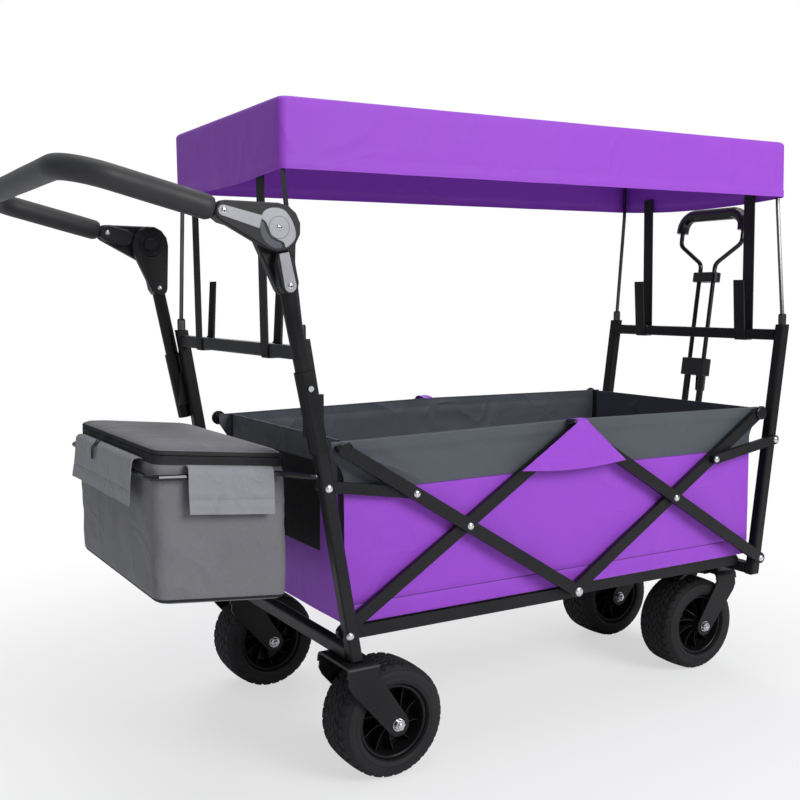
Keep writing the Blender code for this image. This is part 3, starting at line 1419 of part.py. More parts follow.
def pull_grip():
    """The moulded grip over the top of the pull loop."""
    low = PULL_LOOP_TOP - 0.036
    corners = [
        pull_place(PULL_LOOP_HALF, low),
        pull_place(PULL_LOOP_HALF, PULL_LOOP_TOP),
        pull_place(-PULL_LOOP_HALF, PULL_LOOP_TOP),
        pull_place(-PULL_LOOP_HALF, low),
    ]
    path = rounded_path(corners, [0.030, 0.030], 5)
    return swept(path, tube_section(PULL_GRIP_RADIUS, 10), (1, 0, 0))


def make_bag():
    """The bag behind the wagon, the rail that carries it, and its lid."""
    middle = -BAG_BACK + BAG_DEPTH / 2
    outer = bag_outline(middle, 0.0)
    inner = bag_outline(middle, CLOTH)
    pieces = [bag_shell(outer, inner), bag_flap(), mirrored(bag_flap()), back_flap()]
    add_part("bag_body", fused(pieces), "rear_frame", grey_cloth())
    add_part("bag_rail", bag_rail(), "rear_frame", black_frame())
    lid = bmesh.new()
    rings = []
    for draw, rise in ((0.0, 0.0), (0.0, BAG_LID_EDGE), (0.02, 0.013), (0.055, BAG_LID_RISE)):
        loop = bag_outline(middle, draw + 0.001)
        rings.append([lid.verts.new((x, y, BAG_LID_HINGE_Z + rise)) for x, y in loop])
    for lower, upper in zip(rings, rings[1:]):
        for n in range(len(lower)):
            m = (n + 1) % len(lower)
            lid.faces.new((lower[n], lower[m], upper[m], upper[n]))
    lid.faces.new(rings[0])
    lid.faces.new(rings[-1])
    bmesh.ops.recalc_face_normals(lid, faces=lid.faces)
    add_part("bag_lid", lid, "bag_lid", grey_cloth())


def bag_outline(middle, inset):
    """The bag's plan, as points in X and Y."""
    return [
        (x, y)
        for x, y in rounded_rectangle(
            middle, 0, BAG_DEPTH - 2 * inset, 2 * (BAG_HALF_WIDTH - inset), BAG_CORNER, 4
        )
    ]


def bag_shell(outer, inner):
    """The bag's walls and floor, a little slack below, open at the top."""
    shape = bmesh.new()
    levels = [(BAG_BOTTOM_Z, -0.006), (BAG_BOTTOM_Z + 0.012, 0.0), (BAG_BOTTOM_Z + 0.09, 0.002)]
    levels += [(BAG_TOP_Z, 0.0)]
    inner_levels = [(BAG_TOP_Z, 0.0), (BAG_BOTTOM_Z + 0.09, 0.002)]
    inner_levels += [(BAG_BOTTOM_Z + CLOTH + 0.004, 0.0)]
    rings = []
    for z, swell in levels:
        loop = drawn_in(outer, -swell)
        rings.append([shape.verts.new((x, y, z)) for x, y in loop])
    for z, swell in inner_levels:
        loop = drawn_in(inner, -swell)
        rings.append([shape.verts.new((x, y, z)) for x, y in loop])
    for lower, upper in zip(rings, rings[1:]):
        for n in range(len(lower)):
            m = (n + 1) % len(lower)
            shape.faces.new((lower[n], lower[m], upper[m], upper[n]))
    shape.faces.new(rings[0])
    shape.faces.new(rings[-1])
    bmesh.ops.recalc_face_normals(shape, faces=shape.faces)
    return shape


def flap_profile(wall, rail, top):
    """Section of a flap that leaves the bag's wall, crosses over the rail and hangs outside it."""
    outer = rail + BAG_RAIL_RADIUS + 0.001
    thick = FLAP_THICKNESS
    return [
        (wall - 0.002, top),
        (outer, top),
        (outer, top - FLAP_LENGTH),
        (outer + thick, top - FLAP_LENGTH),
        (outer + thick, top + thick * 0.5),
        (outer + thick * 0.5, top + thick),
        (wall - 0.002, top + thick),
    ]


def bag_flap():
    """The flap on a side of the bag."""
    top = BAG_RAIL_Z + BAG_RAIL_LIFT + BAG_RAIL_RADIUS + 2 * GAP
    profile = flap_profile(BAG_HALF_WIDTH, BAG_RAIL_Y, top)
    half = SIDE_FLAP_WIDTH / 2
    shape = plate(profile, SIDE_FLAP_MIDDLE - half, SIDE_FLAP_MIDDLE + half)
    for vert in shape.verts:
        across, along, height = vert.co
        vert.co = (along, across, height)
    bmesh.ops.reverse_faces(shape, faces=shape.faces)
    return shape


def back_flap():
    """The wide flap on the back of the bag."""
    top = BAG_RAIL_Z + BAG_RAIL_LIFT + BAG_RAIL_RADIUS + 2 * GAP
    profile = [(-x, z) for x, z in flap_profile(BAG_BACK, BAG_BACK + BAG_RAIL_STANDS, top)]
    return plate(profile, -BACK_FLAP_HALF, BACK_FLAP_HALF)


def bag_rail():
    """The U-shaped rail from post to post that the bag hangs on."""
    y = BAG_RAIL_Y
    foot_x = rear_post_x(BAG_RAIL_Z - BAG_RAIL_RADIUS) - TUBE / 2
    foot_x -= GAP + 2 * REAR_POST_LEAN * BAG_RAIL_RADIUS
    lift = BAG_RAIL_Z + BAG_RAIL_LIFT
    post = REAR_POST_Y
    corners = [
        (foot_x, post, BAG_RAIL_Z),
        (foot_x - 0.010, post, BAG_RAIL_Z),
        (foot_x - 0.042, y, BAG_RAIL_Z + 0.002),
        (-BAG_BACK - BAG_RAIL_STANDS, y, lift),
    ]
    other = [(cx, -cy, cz) for cx, cy, cz in reversed(corners)]
    path = rounded_path(corners + other, [BAG_RAIL_CORNER] * 6, 2)
    return swept(path, tube_section(BAG_RAIL_RADIUS, 8), (0, 0, 1))


def main():
    clear_scene()
    make_rear_frame()
    make_front_frame()
    make_rear_forks()
    make_casters()
    make_wheels()
    make_links()
    make_stays()
    make_bed()
    make_tub()
    make_canopy()
    make_push_handle()
    make_pull_handle()
    make_bag()


main()
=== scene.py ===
# %% [markdown]
# # A folding wagon under a canopy
#
# The real wagon is a black steel frame that folds like scissors, with cloth hung inside it and a
# canopy on thin bows above. The steel pieces come ready made and in their places, each on the body
# that it moves with. What is left to do here is everything that makes them look real: cloth that
# hangs and creases, moulded rubber, bright rivets, foam and webbing. All of it is in metres, and
# the middle of the scissor linkage is X = 0 in the drawings, so one shift brings a piece home.

import math

import bmesh
import bpy
from mathutils import Matrix, Vector, noise


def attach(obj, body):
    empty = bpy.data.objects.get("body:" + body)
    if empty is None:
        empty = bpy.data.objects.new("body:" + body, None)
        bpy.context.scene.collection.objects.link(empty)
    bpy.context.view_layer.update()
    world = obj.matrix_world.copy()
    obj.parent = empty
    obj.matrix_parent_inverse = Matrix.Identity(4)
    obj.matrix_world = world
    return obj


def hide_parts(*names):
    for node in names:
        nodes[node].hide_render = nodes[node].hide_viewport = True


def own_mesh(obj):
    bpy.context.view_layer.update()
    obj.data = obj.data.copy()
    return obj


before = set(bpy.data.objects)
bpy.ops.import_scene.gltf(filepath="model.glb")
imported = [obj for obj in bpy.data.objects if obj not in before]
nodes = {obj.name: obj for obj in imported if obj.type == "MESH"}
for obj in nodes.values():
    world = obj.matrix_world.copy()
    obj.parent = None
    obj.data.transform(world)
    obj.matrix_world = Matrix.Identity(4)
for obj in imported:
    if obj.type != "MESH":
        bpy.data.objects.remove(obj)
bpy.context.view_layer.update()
scene = bpy.context.scene
MIDDLE = 0.138204

# %% [markdown]
# ## The camera
#
# The photograph was taken from beside the wagon's right rear corner, a little lower than the push
# bar. The camera's place, aim and lens were fitted to points picked on the photograph. A camera can
# be aimed with a Track To constraint, but three plain vectors, one along the view, one to the right
# and one up, say the same with no helper object and keep the small tilt.

# %% Place the camera
CAMERA_PLACE = (MIDDLE - 1.166, -1.641, 0.7346)
HEADING, DOWN, TILT = math.radians(30.48), math.radians(5.6), math.radians(-0.37)
LENS, SENSOR_WIDTH = 48.8, 36


def aim_camera(place, heading, down, tilt, lens):
    """A camera that looks along a heading, a little down, with the horizon tilted."""
    ahead = Vector(
        (math.sin(heading) * math.cos(down), math.cos(heading) * math.cos(down), -math.sin(down))
    )
    right = Vector((math.cos(heading), -math.sin(heading), 0))
    up = right.cross(ahead)
    right, up = (
        right * math.cos(tilt) + up * math.sin(tilt),
        up * math.cos(tilt) - right * math.sin(tilt),
    )
    data = bpy.data.cameras.new("camera")
    data.lens, data.sensor_width = lens, SENSOR_WIDTH
    camera = bpy.data.objects.new("camera", data)
    turn = Matrix((right, up, -ahead)).transposed().to_4x4()
    camera.matrix_world = Matrix.Translation(place) @ turn
    scene.collection.objects.link(camera)
    return camera


scene.camera = aim_camera(CAMERA_PLACE, HEADING, DOWN, TILT, LENS)
scene.view_settings.view_transform = "Standard"
print("camera at", tuple(round(value, 3) for value in scene.camera.location))

# %% [markdown]
# ## Shader nodes by hand
#
# Every finish below is a small network of nodes. Blender makes a node in one line and each of its
# links in another, which soon hides the idea. The helper here makes a node and fills its sockets in
# one call: a plain value is set on the socket, and another node's output is linked to it.


# %% A helper that makes one node
def node(tree, kind, sockets=None, **settings):
    """One shader node. A socket's value is set, and another node's output is linked."""
    made = tree.nodes.new("ShaderNode" + kind)
    for name, value in settings.items():
        setattr(made, name, value)
    for name, value in (sockets or {}).items():
        if isinstance(value, bpy.types.NodeSocket):
            tree.links.new(value, made.inputs[name])
        else:
            made.inputs[name].default_value = value
    return made


def maths(tree, operation, *values):
    """A Math node on the given values or outputs, and its result."""
    return node(tree, "Math", dict(enumerate(values)), operation=operation).outputs[0]


print("shader helper ready")

# %% [markdown]
# ## The studio
#
# The wagon stands in a white studio. A curved paper backdrop would do, but it bends its own shade
# into the picture. Here a wide pale floor keeps the shadow under the wheels and fades to pure white
# further out, where it meets a white world. Only the camera, straight or through a clear piece,
# sees the world's white. To everything else the world is a weak bluish glow, because black tubes
# that mirror a white world turn grey.

# %% Floor and background
WHITE = (1, 1, 1, 1)
FLOOR_RADIUS, FLOOR_GREY = 14, (0.86, 0.86, 0.87, 1)
FADE_FROM, FADE_TO, NEAR_WHITE = 0.5, 1.5, 0.6
GLOW, GLOW_STRENGTH = (0.93, 0.96, 1.0, 1), 0.30


def make_floor():
    """A pale disc. To the camera it shines partly white by the wagon, and wholly further out."""
    shape = bmesh.new()
    bmesh.ops.create_circle(shape, cap_ends=True, segments=96, radius=FLOOR_RADIUS)
    mesh = bpy.data.meshes.new("floor")
    shape.to_mesh(mesh)
    floor = bpy.data.objects.new("floor", mesh)
    scene.collection.objects.link(floor)
    look = bpy.data.materials.new("studio_floor")
    look.use_nodes = True
    tree = look.node_tree
    shader = tree.nodes["Principled BSDF"]
    shader.inputs["Base Color"].default_value = FLOOR_GREY
    shader.inputs["Roughness"].default_value = 0.7
    shader.inputs["Specular IOR Level"].default_value = 0.1
    place = node(tree, "TexCoord").outputs["Object"]
    far = node(tree, "VectorMath", {0: place}, operation="LENGTH").outputs["Value"]
    fade = node(tree, "MapRange", {"Value": far, "From Min": FADE_FROM, "From Max": FADE_TO})
    fade.interpolation_type = "SMOOTHSTEP"
    white = node(tree, "Emission", {"Color": WHITE, "Strength": 1.0})
    pale = maths(tree, "MULTIPLY_ADD", fade.outputs[0], 1 - NEAR_WHITE, NEAR_WHITE)
    share = maths(tree, "MULTIPLY", pale, node(tree, "LightPath").outputs["Is Camera Ray"])
    mix = node(tree, "MixShader", {0: share, 1: shader.outputs[0], 2: white.outputs[0]})
    tree.links.new(mix.outputs[0], tree.nodes["Material Output"].inputs[0])
    mesh.materials.append(look)


make_floor()
print("floor's radius:", FLOOR_RADIUS)


# %% The world behind it
def make_world():
    """White to the camera and through clear pieces, and a soft glow to everything else."""
    world = bpy.data.worlds.new("studio")
    world.use_nodes = True
    tree = world.node_tree
    ray = node(tree, "LightPath")
    seen = maths(tree, "MAXIMUM", ray.outputs["Is Camera Ray"], ray.outputs["Is Transmission Ray"])
    soft = node(tree, "Background", {"Color": GLOW, "Strength": GLOW_STRENGTH})
    white = node(tree, "Background", {"Color": WHITE, "Strength": 1.0})
    mix = node(tree, "MixShader", {0: seen, 1: soft.outputs[0], 2: white.outputs[0]})
    tree.links.new(mix.outputs[0], tree.nodes["World Output"].inputs[0])
    scene.world = world


make_world()
print("world:", scene.world.name)

# %% [markdown]
# ## Soft lamps
#
# A photographer would light this with a large softbox to the right of the camera, a much weaker one
# on the left, a third from above, and a fourth behind the wagon to lift its far edges. Area lamps
# are the same thing: the larger the lamp, the softer the shade. Sun lamps would draw hard edges
# that the photograph doesn't have.


# %% Hang the lamps
def soft_lamp(name, place, target, size, power):
    """A round lamp aimed at a target. size is its width in metres, power is in watts."""
    data = bpy.data.lights.new(name, "AREA")
    data.shape, data.size, data.energy = "DISK", size, power
    lamp = bpy.data.objects.new(name, data)
    lamp.location = place
    lamp.rotation_euler = (Vector(target) - Vector(place)).to_track_quat("-Z", "Y").to_euler()
    scene.collection.objects.link(lamp)


soft_lamp("key", (1.0, -3.4, 2.3), (0.1, 0, 0.5), 2.2, 104)
soft_lamp("fill", (-3.2, -1.3, 1.5), (0, 0, 0.5), 1.8, 4)
soft_lamp("top", (0.2, 0.3, 3.6), (0.1, 0, 0.4), 2.6, 40)
soft_lamp("back", (1.6, 3.2, 2.2), (0.1, 0, 0.5), 1.8, 26)
print("lamps:", [lamp.name for lamp in bpy.data.lights])

# %% [markdown]
# ## Effects that several finishes share
#
# Three things turn up again and again: the fine grain of paint and moulded plastic, the threads of
# woven cloth, and the soft creases that cloth keeps. Each is a node group, made once, with an input
# for its size, so that each finish can use it at its own scale. Grain and weave also put out slow
# changes of tone. The threads are made from sine waves along X, Y and Z, and the way the surface
# faces picks the pair that lies in it. So the weave needs no unwrapped mesh, and stays the right
# size on every piece.

# %% A node group with named sockets
CLOUDS_TO_GRAIN, CLOTH_CLOUDS = 0.012, 14.0


def new_group(name, inputs, outputs):
    """A node group, with its first and last node. An input is a name and a value."""
    tree = bpy.data.node_groups.new(name, "ShaderNodeTree")
    for socket, value in inputs.items():
        made = tree.interface.new_socket(socket, in_out="INPUT", socket_type="NodeSocketFloat")
        made.default_value = value
    for socket in outputs:
        tree.interface.new_socket(socket, in_out="OUTPUT", socket_type="NodeSocketFloat")
    return tree, tree.nodes.new("NodeGroupInput"), tree.nodes.new("NodeGroupOutput")


print("group helper ready")


# %% Grain
def grain_group():
    """Fine bumps of one size, and slow clouds of tone some eighty times as wide."""
    tree, start, end = new_group("grain", {"Size": 0.001}, ["Height", "Tone"])
    place = node(tree, "TexCoord").outputs["Object"]
    many = maths(tree, "DIVIDE", 1.0, start.outputs["Size"])
    fine = node(tree, "TexNoise", {"Vector": place, "Scale": many, "Detail": 3.0})
    slow = maths(tree, "MULTIPLY", many, CLOUDS_TO_GRAIN)
    cloud = node(tree, "TexNoise", {"Vector": place, "Scale": slow, "Detail": 4.0})
    tree.links.new(fine.outputs["Fac"], end.inputs["Height"])
    tree.links.new(cloud.outputs["Fac"], end.inputs["Tone"])
    return tree


GRAIN = grain_group()
print("group:", GRAIN.name)


# %% Weave
def weave_group():
    """Threads that cross over and under each other, on faces that look any way."""
    tree, start, end = new_group("weave", {"Thread": 0.0008}, ["Height", "Tone"])
    place = node(tree, "TexCoord").outputs["Object"]
    turns = maths(tree, "DIVIDE", math.pi, start.outputs["Thread"])
    spread = node(tree, "VectorMath", {0: place, 1: turns}, operation="MULTIPLY")
    wave = node(tree, "VectorMath", {0: spread.outputs[0]}, operation="SINE")
    along = node(tree, "SeparateXYZ", {0: wave.outputs[0]})
    facing = node(tree, "VectorMath", {0: node(tree, "NewGeometry").outputs["Normal"]})
    facing.operation = "ABSOLUTE"
    facing = node(tree, "SeparateXYZ", {0: facing.outputs[0]})
    total = 0.5
    for axis, (one, other) in enumerate(((1, 2), (0, 2), (0, 1))):
        crossing = maths(tree, "MULTIPLY", along.outputs[one], along.outputs[other])
        part = maths(tree, "MULTIPLY", crossing, facing.outputs[axis])
        total = maths(tree, "MULTIPLY_ADD", part, 0.5, total)
    tree.links.new(total, end.inputs["Height"])
    thread = maths(tree, "DIVIDE", 0.25, start.outputs["Thread"])
    slub = node(tree, "TexNoise", {"Vector": place, "Scale": thread, "Detail": 2.0})
    cloud = node(tree, "TexNoise", {"Vector": place, "Scale": CLOTH_CLOUDS, "Detail": 3.0})
    tone = maths(tree, "MULTIPLY", maths(tree, "ADD", slub.outputs[0], cloud.outputs[0]), 0.5)
    tree.links.new(tone, end.inputs["Tone"])
    return tree


WEAVE = weave_group()
print("group:", WEAVE.name)


# %% Creases
def crease_group():
    """Soft creases as wide as Size, bent so that no two run alike."""
    tree, start, end = new_group("creases", {"Size": 0.05}, ["Height"])
    place = node(tree, "TexCoord").outputs["Object"]
    many = maths(tree, "DIVIDE", 1.0, start.outputs["Size"])
    wide = node(tree, "TexNoise", {"Vector": place, "Scale": many, "Detail": 2.0, "Distortion": 0.6})
    fold = maths(tree, "ABSOLUTE", maths(tree, "SUBTRACT", wide.outputs[0], 0.5))
    sharp = maths(tree, "POWER", maths(tree, "SUBTRACT", 1.0, fold), 6.0)
    tree.links.new(sharp, end.inputs["Height"])
    return tree


CREASES = crease_group()
print("group:", CREASES.name)

# %% [markdown]
# ## Finishes for hard pieces
#
# Powder coat is a skin of melted plastic powder: nearly black, satin, with a fine orange peel.
# Moulded plastic has a finer grain and less shine, and tyre rubber is duller still. They are one
# recipe with other numbers: a colour that wanders a little with the slow tone, a roughness that
# wanders with it, and the grain as a bump. The same recipe makes metal, for the zinc on rivets and
# nuts and for the thin steel bows. It also gives the bag's rail and the pull handle's rods their
# shine, and the knuckles their satin and glossy greys.


# %% Recipe for a grained finish
def group_node(tree, group, **inputs):
    """A node group placed in a material, with its inputs set."""
    made = tree.nodes.new("ShaderNodeGroup")
    made.node_tree = group
    for name, value in inputs.items():
        made.inputs[name.capitalize()].default_value = value
    return made


def wander(tree, tone, low, high):
    """A value that goes from low to high as a tone goes from a quarter to three quarters."""
    sockets = {"Value": tone, "From Min": 0.25, "From Max": 0.75, "To Min": low, "To Max": high}
    return node(tree, "MapRange", sockets).outputs[0]


def tinted(tree, tone, dark, light):
    """A colour between two colours, by a tone."""
    share = wander(tree, tone, 0.0, 1.0)
    mix = node(tree, "Mix", {0: share, 6: (*dark, 1), 7: (*light, 1)}, data_type="RGBA")
    return mix.outputs[2]


def new_look(name, **constants):
    """A material with its Principled shader's own constants set, such as Sheen_Weight."""
    look = bpy.data.materials.new(name)
    look.use_nodes = True
    shader = look.node_tree.nodes["Principled BSDF"]
    for socket, value in constants.items():
        shader.inputs[socket.replace("_", " ")].default_value = value
    return look, look.node_tree, shader


def grained(name, dark, light, rough, grain, bump, **constants):
    """A grained finish: its two tones, lowest and highest roughness, and grain size and depth."""
    look, tree, shader = new_look(name, **constants)
    fine = group_node(tree, GRAIN, size=grain)
    tree.links.new(tinted(tree, fine.outputs["Tone"], dark, light), shader.inputs["Base Color"])
    tree.links.new(wander(tree, fine.outputs["Tone"], *rough), shader.inputs["Roughness"])
    sockets = {"Height": fine.outputs["Height"], "Distance": bump, "Strength": 0.6}
    relief = node(tree, "Bump", sockets)
    tree.links.new(relief.outputs[0], shader.inputs["Normal"])
    return look


print("recipe for grained finishes ready")

# %% The hard finishes
COAT = grained(
    "powder_coat", (0.006, 0.006, 0.007), (0.012, 0.012, 0.013), (0.26, 0.38), 0.0009, 0.00016,
    Specular_IOR_Level=0.24,
)
PLASTIC = grained(
    "black_plastic", (0.009, 0.009, 0.010), (0.016, 0.016, 0.018), (0.36, 0.48), 0.0005, 0.0001,
    Specular_IOR_Level=0.28,
)
WHEEL_PLASTIC = grained(
    "wheel_plastic", (0.006, 0.006, 0.007), (0.012, 0.012, 0.013), (0.30, 0.44), 0.0006, 0.0001,
    Specular_IOR_Level=0.26,
)
RUBBER = grained(
    "tyre_rubber", (0.012, 0.012, 0.013), (0.024, 0.024, 0.026), (0.58, 0.78), 0.0007, 0.0002,
    Specular_IOR_Level=0.25,
)
FOAM = grained(
    "grip_foam", (0.013, 0.013, 0.014), (0.021, 0.021, 0.023), (0.46, 0.60), 0.0007, 0.00025,
    Specular_IOR_Level=0.45, Sheen_Weight=0.15, Sheen_Roughness=0.5,
)
ZINC = grained(
    "zinc_plate", (0.62, 0.63, 0.65), (0.80, 0.81, 0.83), (0.16, 0.34), 0.0004, 0.00003,
    Metallic=1.0,
)
SATIN_PLATE = grained(
    "satin_grey_plate", (0.24, 0.245, 0.26), (0.32, 0.325, 0.34), (0.34, 0.46), 0.0005, 0.00008,
    Metallic=0.35,
)
POLISHED_BOW = grained(
    "bow_steel", (0.10, 0.10, 0.105), (0.16, 0.16, 0.17), (0.14, 0.24), 0.0009, 0.00004,
    Metallic=1.0,
)
GLOSS_BLACK = grained(
    "gloss_black", (0.007, 0.007, 0.008), (0.012, 0.012, 0.013), (0.12, 0.20), 0.0009, 0.00004,
    Specular_IOR_Level=0.5,
)
GLOSS_GREY = grained(
    "gloss_grey_plastic", (0.070, 0.075, 0.088), (0.090, 0.096, 0.110), (0.12, 0.20), 0.0006, 0.00004,
    Specular_IOR_Level=0.5,
)
print("hard finishes:", len(bpy.data.materials))

# %% [markdown]
# ## Dressing the frame
#
# The steel and plastic pieces of the frame keep their shapes, and only take a finish in place of a
# plain colour. Each could be given its finish by hand, but a piece's name says what it is made of,
# so one line dresses all the pieces whose names start alike. The lines run from general to special,
# and a later one wins.


# %% Give the frame its finishes
def dress(look, *names):
    """Every frame piece whose name starts with one of the names takes the finish."""
    found = [piece for name, piece in nodes.items() if name.startswith(names)]
    for piece in found:
        for slot in piece.material_slots:
            slot.material = look
    return len(found)


steel = dress(COAT, "rear_", "front_", "bed_", "caster_", "push_tube")
plastic = dress(PLASTIC, "knuckle", "pull_", "brake_")
rods = dress(GLOSS_BLACK, "bag_rail", "pull_tubes", "pull_loop")
bright = dress(ZINC, "snap_button")
bows = dress(POLISHED_BOW, "rear_canopy_bow", "front_canopy_bow")
print("dressed:", steel, "steel,", plastic, "plastic,", bright, "zinc,", rods, "rods,", bows, "bows")

# %% [markdown]
# ## Making pieces
#
# A piece is drawn as a bmesh in the wagon's own coordinates and then turned into an object. The
# helper shades it smooth with sharp edges where faces meet steeply, gives it its finishes, shifts
# it home and makes it ride on a body. From then on it moves with that body in every pose.


# %% From a bmesh to a piece that rides
def finished_mesh(name, shape, looks, sharp=35):
    """A bmesh becomes a mesh with its finishes, smooth but for edges sharper than an angle."""
    bmesh.ops.recalc_face_normals(shape, faces=shape.faces)
    mesh = bpy.data.meshes.new(name)
    shape.to_mesh(mesh)
    shape.free()
    for look in looks if isinstance(looks, (list, tuple)) else [looks]:
        mesh.materials.append(look)
    mesh.shade_smooth()
    mesh.set_sharp_from_angle(angle=math.radians(sharp))
    return mesh


def hang(name, mesh, body, place=(0, 0, 0)):
    """An object with this mesh that rides on a body."""
    piece = bpy.data.objects.new(name, mesh)
    piece.location = Vector(place) + Vector((MIDDLE, 0, 0))
    scene.collection.objects.link(piece)
    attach(piece, body)
    return piece


def new_piece(name, shape, body, looks, sharp=35):
    return hang(name, finished_mesh(name, shape, looks, sharp), body)


print("pieces can ride on bodies")


# %% Turned, moved, merged and mirrored shapes
def turned(profile, count, closed=False):
    """A turned shape round the Y axis. The profile's points are (radius, place along Y)."""
    shape = bmesh.new()
    turn = 2 * math.pi / count
    rings = []
    for radius, along in profile:
        ring = []
        for n in range(count if radius > 0 else 1):
            spot = (radius * math.cos(turn * n), along, radius * math.sin(turn * n))
            ring.append(shape.verts.new(spot))
        rings.append(ring)
    pairs = list(zip(rings, rings[1:])) + ([(rings[-1], rings[0])] if closed else [])
    for low, high in pairs:
        for n in range(count):
            m = (n + 1) % count
            corners = [low[n % len(low)], low[m % len(low)], high[m % len(high)], high[n % len(high)]]
            corners = list(dict.fromkeys(corners))
            if len(corners) > 2:
                shape.faces.new(corners)
    return shape


def moved(shape, x=0.0, y=0.0, z=0.0):
    bmesh.ops.translate(shape, verts=shape.verts, vec=(x, y, z))
    return shape


def merged(shapes):
    """Several shapes as one bmesh, side by side."""
    whole = bmesh.new()
    for shape in shapes:
        mesh = bpy.data.meshes.new("part")
        shape.to_mesh(mesh)
        shape.free()
        whole.from_mesh(mesh)
        bpy.data.meshes.remove(mesh)
    return whole


def flipped(shape):
    """The same shape on the other side of the wagon."""
    bmesh.ops.scale(shape, verts=shape.verts, vec=(1, -1, 1))
    bmesh.ops.reverse_faces(shape, faces=shape.faces)
    return shape


SIDES, ENDS = {"left": 1, "right": -1}, {"rear": -1, "front": 1}
print("piece helpers ready")

# %% [markdown]
# ## Tyres
#
# The tyres are broad, with a block tread, ribbed shoulders and a raised ring on the side wall. A
# bump texture would leave the outline smooth, and the outline is where blocks show most. So the
# tread is real: the section is turned in many steps, and a rule says how deep the groove is at each
# angle and each place across. One mesh serves all four wheels.

# %% Cut the tread
AXLES = {"rear": (-0.371, 0.2292), "front": (0.380493, 0.1212)}
TYRE_RADIUS, CROWN_HALF, CROWN_STEPS, CROWN_DROP = 0.089, 0.0318, 44, 0.0017
PITCHES, STEPS_IN_PITCH = 30, 10
MIDDLE_GROOVE, GROOVE_HALF, GROOVE_DEPTH, ZIGZAG = 0.0006, 0.0011, 0.0020, 0.0013
INNER_ROW, OUTER_ROW, SHOULDER_ROW, RIBS = 0.0105, 0.0225, 0.0335, 0.0395
# Each row of blocks has an outer edge, and the depth, start, lean and share of the cuts across it.
TREAD_ROWS = [(INNER_ROW, 0.0016, 0.0, 55, 0.16), (OUTER_ROW, 0.0020, 0.5, -45, 0.22)]
TREAD_ROWS += [(SHOULDER_ROW, 0.0020, 0.0, 18, 0.26)]
RIB_DEPTH, RIB_START, RIB_SHARE = 0.0011, 0.2, 0.45


def sawtooth(value):
    return value - math.floor(value)


def groove_depth(turn, across):
    """How deep the tread is cut. turn counts tread pitches, across is measured from the middle."""
    side = abs(across)
    shift = 0.5 if across > 0 else 0.0
    zigzag = ZIGZAG * (abs(sawtooth(turn + shift) - 0.5) * 4 - 1)
    inner = abs(side - INNER_ROW - zigzag) < GROOVE_HALF
    outer = abs(side - OUTER_ROW + zigzag) < GROOVE_HALF
    if side < MIDDLE_GROOVE or inner or outer:
        return GROOVE_DEPTH
    for edge, depth, start, lean, share in TREAD_ROWS:
        if side < edge:
            return depth if sawtooth(turn + shift + start + side * lean) < share else 0.0
    if side < RIBS:
        return RIB_DEPTH if sawtooth(2 * turn + RIB_START) < RIB_SHARE else 0.0
    return 0.0


print("rows of blocks on each side of the middle:", len(TREAD_ROWS))


# %% Turn the tyre
def tyre_shape():
    """The tyre's section from bead to bead, turned in steps and cut by the tread's rule."""
    section = [(0.0583, 0.0365), (0.0600, 0.0415), (0.0640, 0.0428), (0.0655, 0.0436)]
    section += [(0.0672, 0.0436), (0.0684, 0.0429), (0.0735, 0.0431), (0.0768, 0.0424)]
    section += [(0.0796, 0.0412), (0.0800, 0.0402), (0.0820, 0.0388), (0.0838, 0.0372)]
    section += [(0.0853, 0.0354), (0.0864, 0.0334)]
    tread_from = 0.0801
    crown = [CROWN_HALF * (1 - 2 * n / CROWN_STEPS) for n in range(CROWN_STEPS + 1)]
    profile = list(section)
    profile += [(TYRE_RADIUS - CROWN_DROP * (place / 0.032) ** 2, place) for place in crown]
    profile += [(radius, -place) for radius, place in reversed(section)]
    around = PITCHES * STEPS_IN_PITCH
    shape = bmesh.new()
    rings = []
    for n in range(around):
        angle = 2 * math.pi * n / around
        ring = []
        for radius, across in profile:
            radius -= groove_depth(n / STEPS_IN_PITCH, across) if radius > tread_from else 0.0
            ring.append(shape.verts.new((radius * math.cos(angle), across, radius * math.sin(angle))))
        rings.append(ring)
    for ring, other in zip(rings, rings[1:] + rings[:1]):
        for n in range(len(profile) - 1):
            shape.faces.new((ring[n], ring[n + 1], other[n + 1], other[n]))
    return shape


print("tread pitches:", PITCHES)

# %% [markdown]
# ## Hubs
#
# Each hub is a deep moulded dish with a boss at the middle and curved fins from the boss to the
# rim, on both faces. The dish is a turned profile. Each fin is a thin curved wall whose top edge
# falls away towards the rim, so that it catches a bright line of light as the real ones do.

# %% Turn the hub and add its fins
FINS, FIN_STEPS, FIN_SWEEP = 10, 10, 0.42
FIN_START, FIN_END, FIN_HALF = 0.0138, 0.0506, 0.0011
FIN_TOP, FIN_FALL, FIN_DIP, FIN_FOOT = 0.0350, 0.0105, 0.004, 0.002


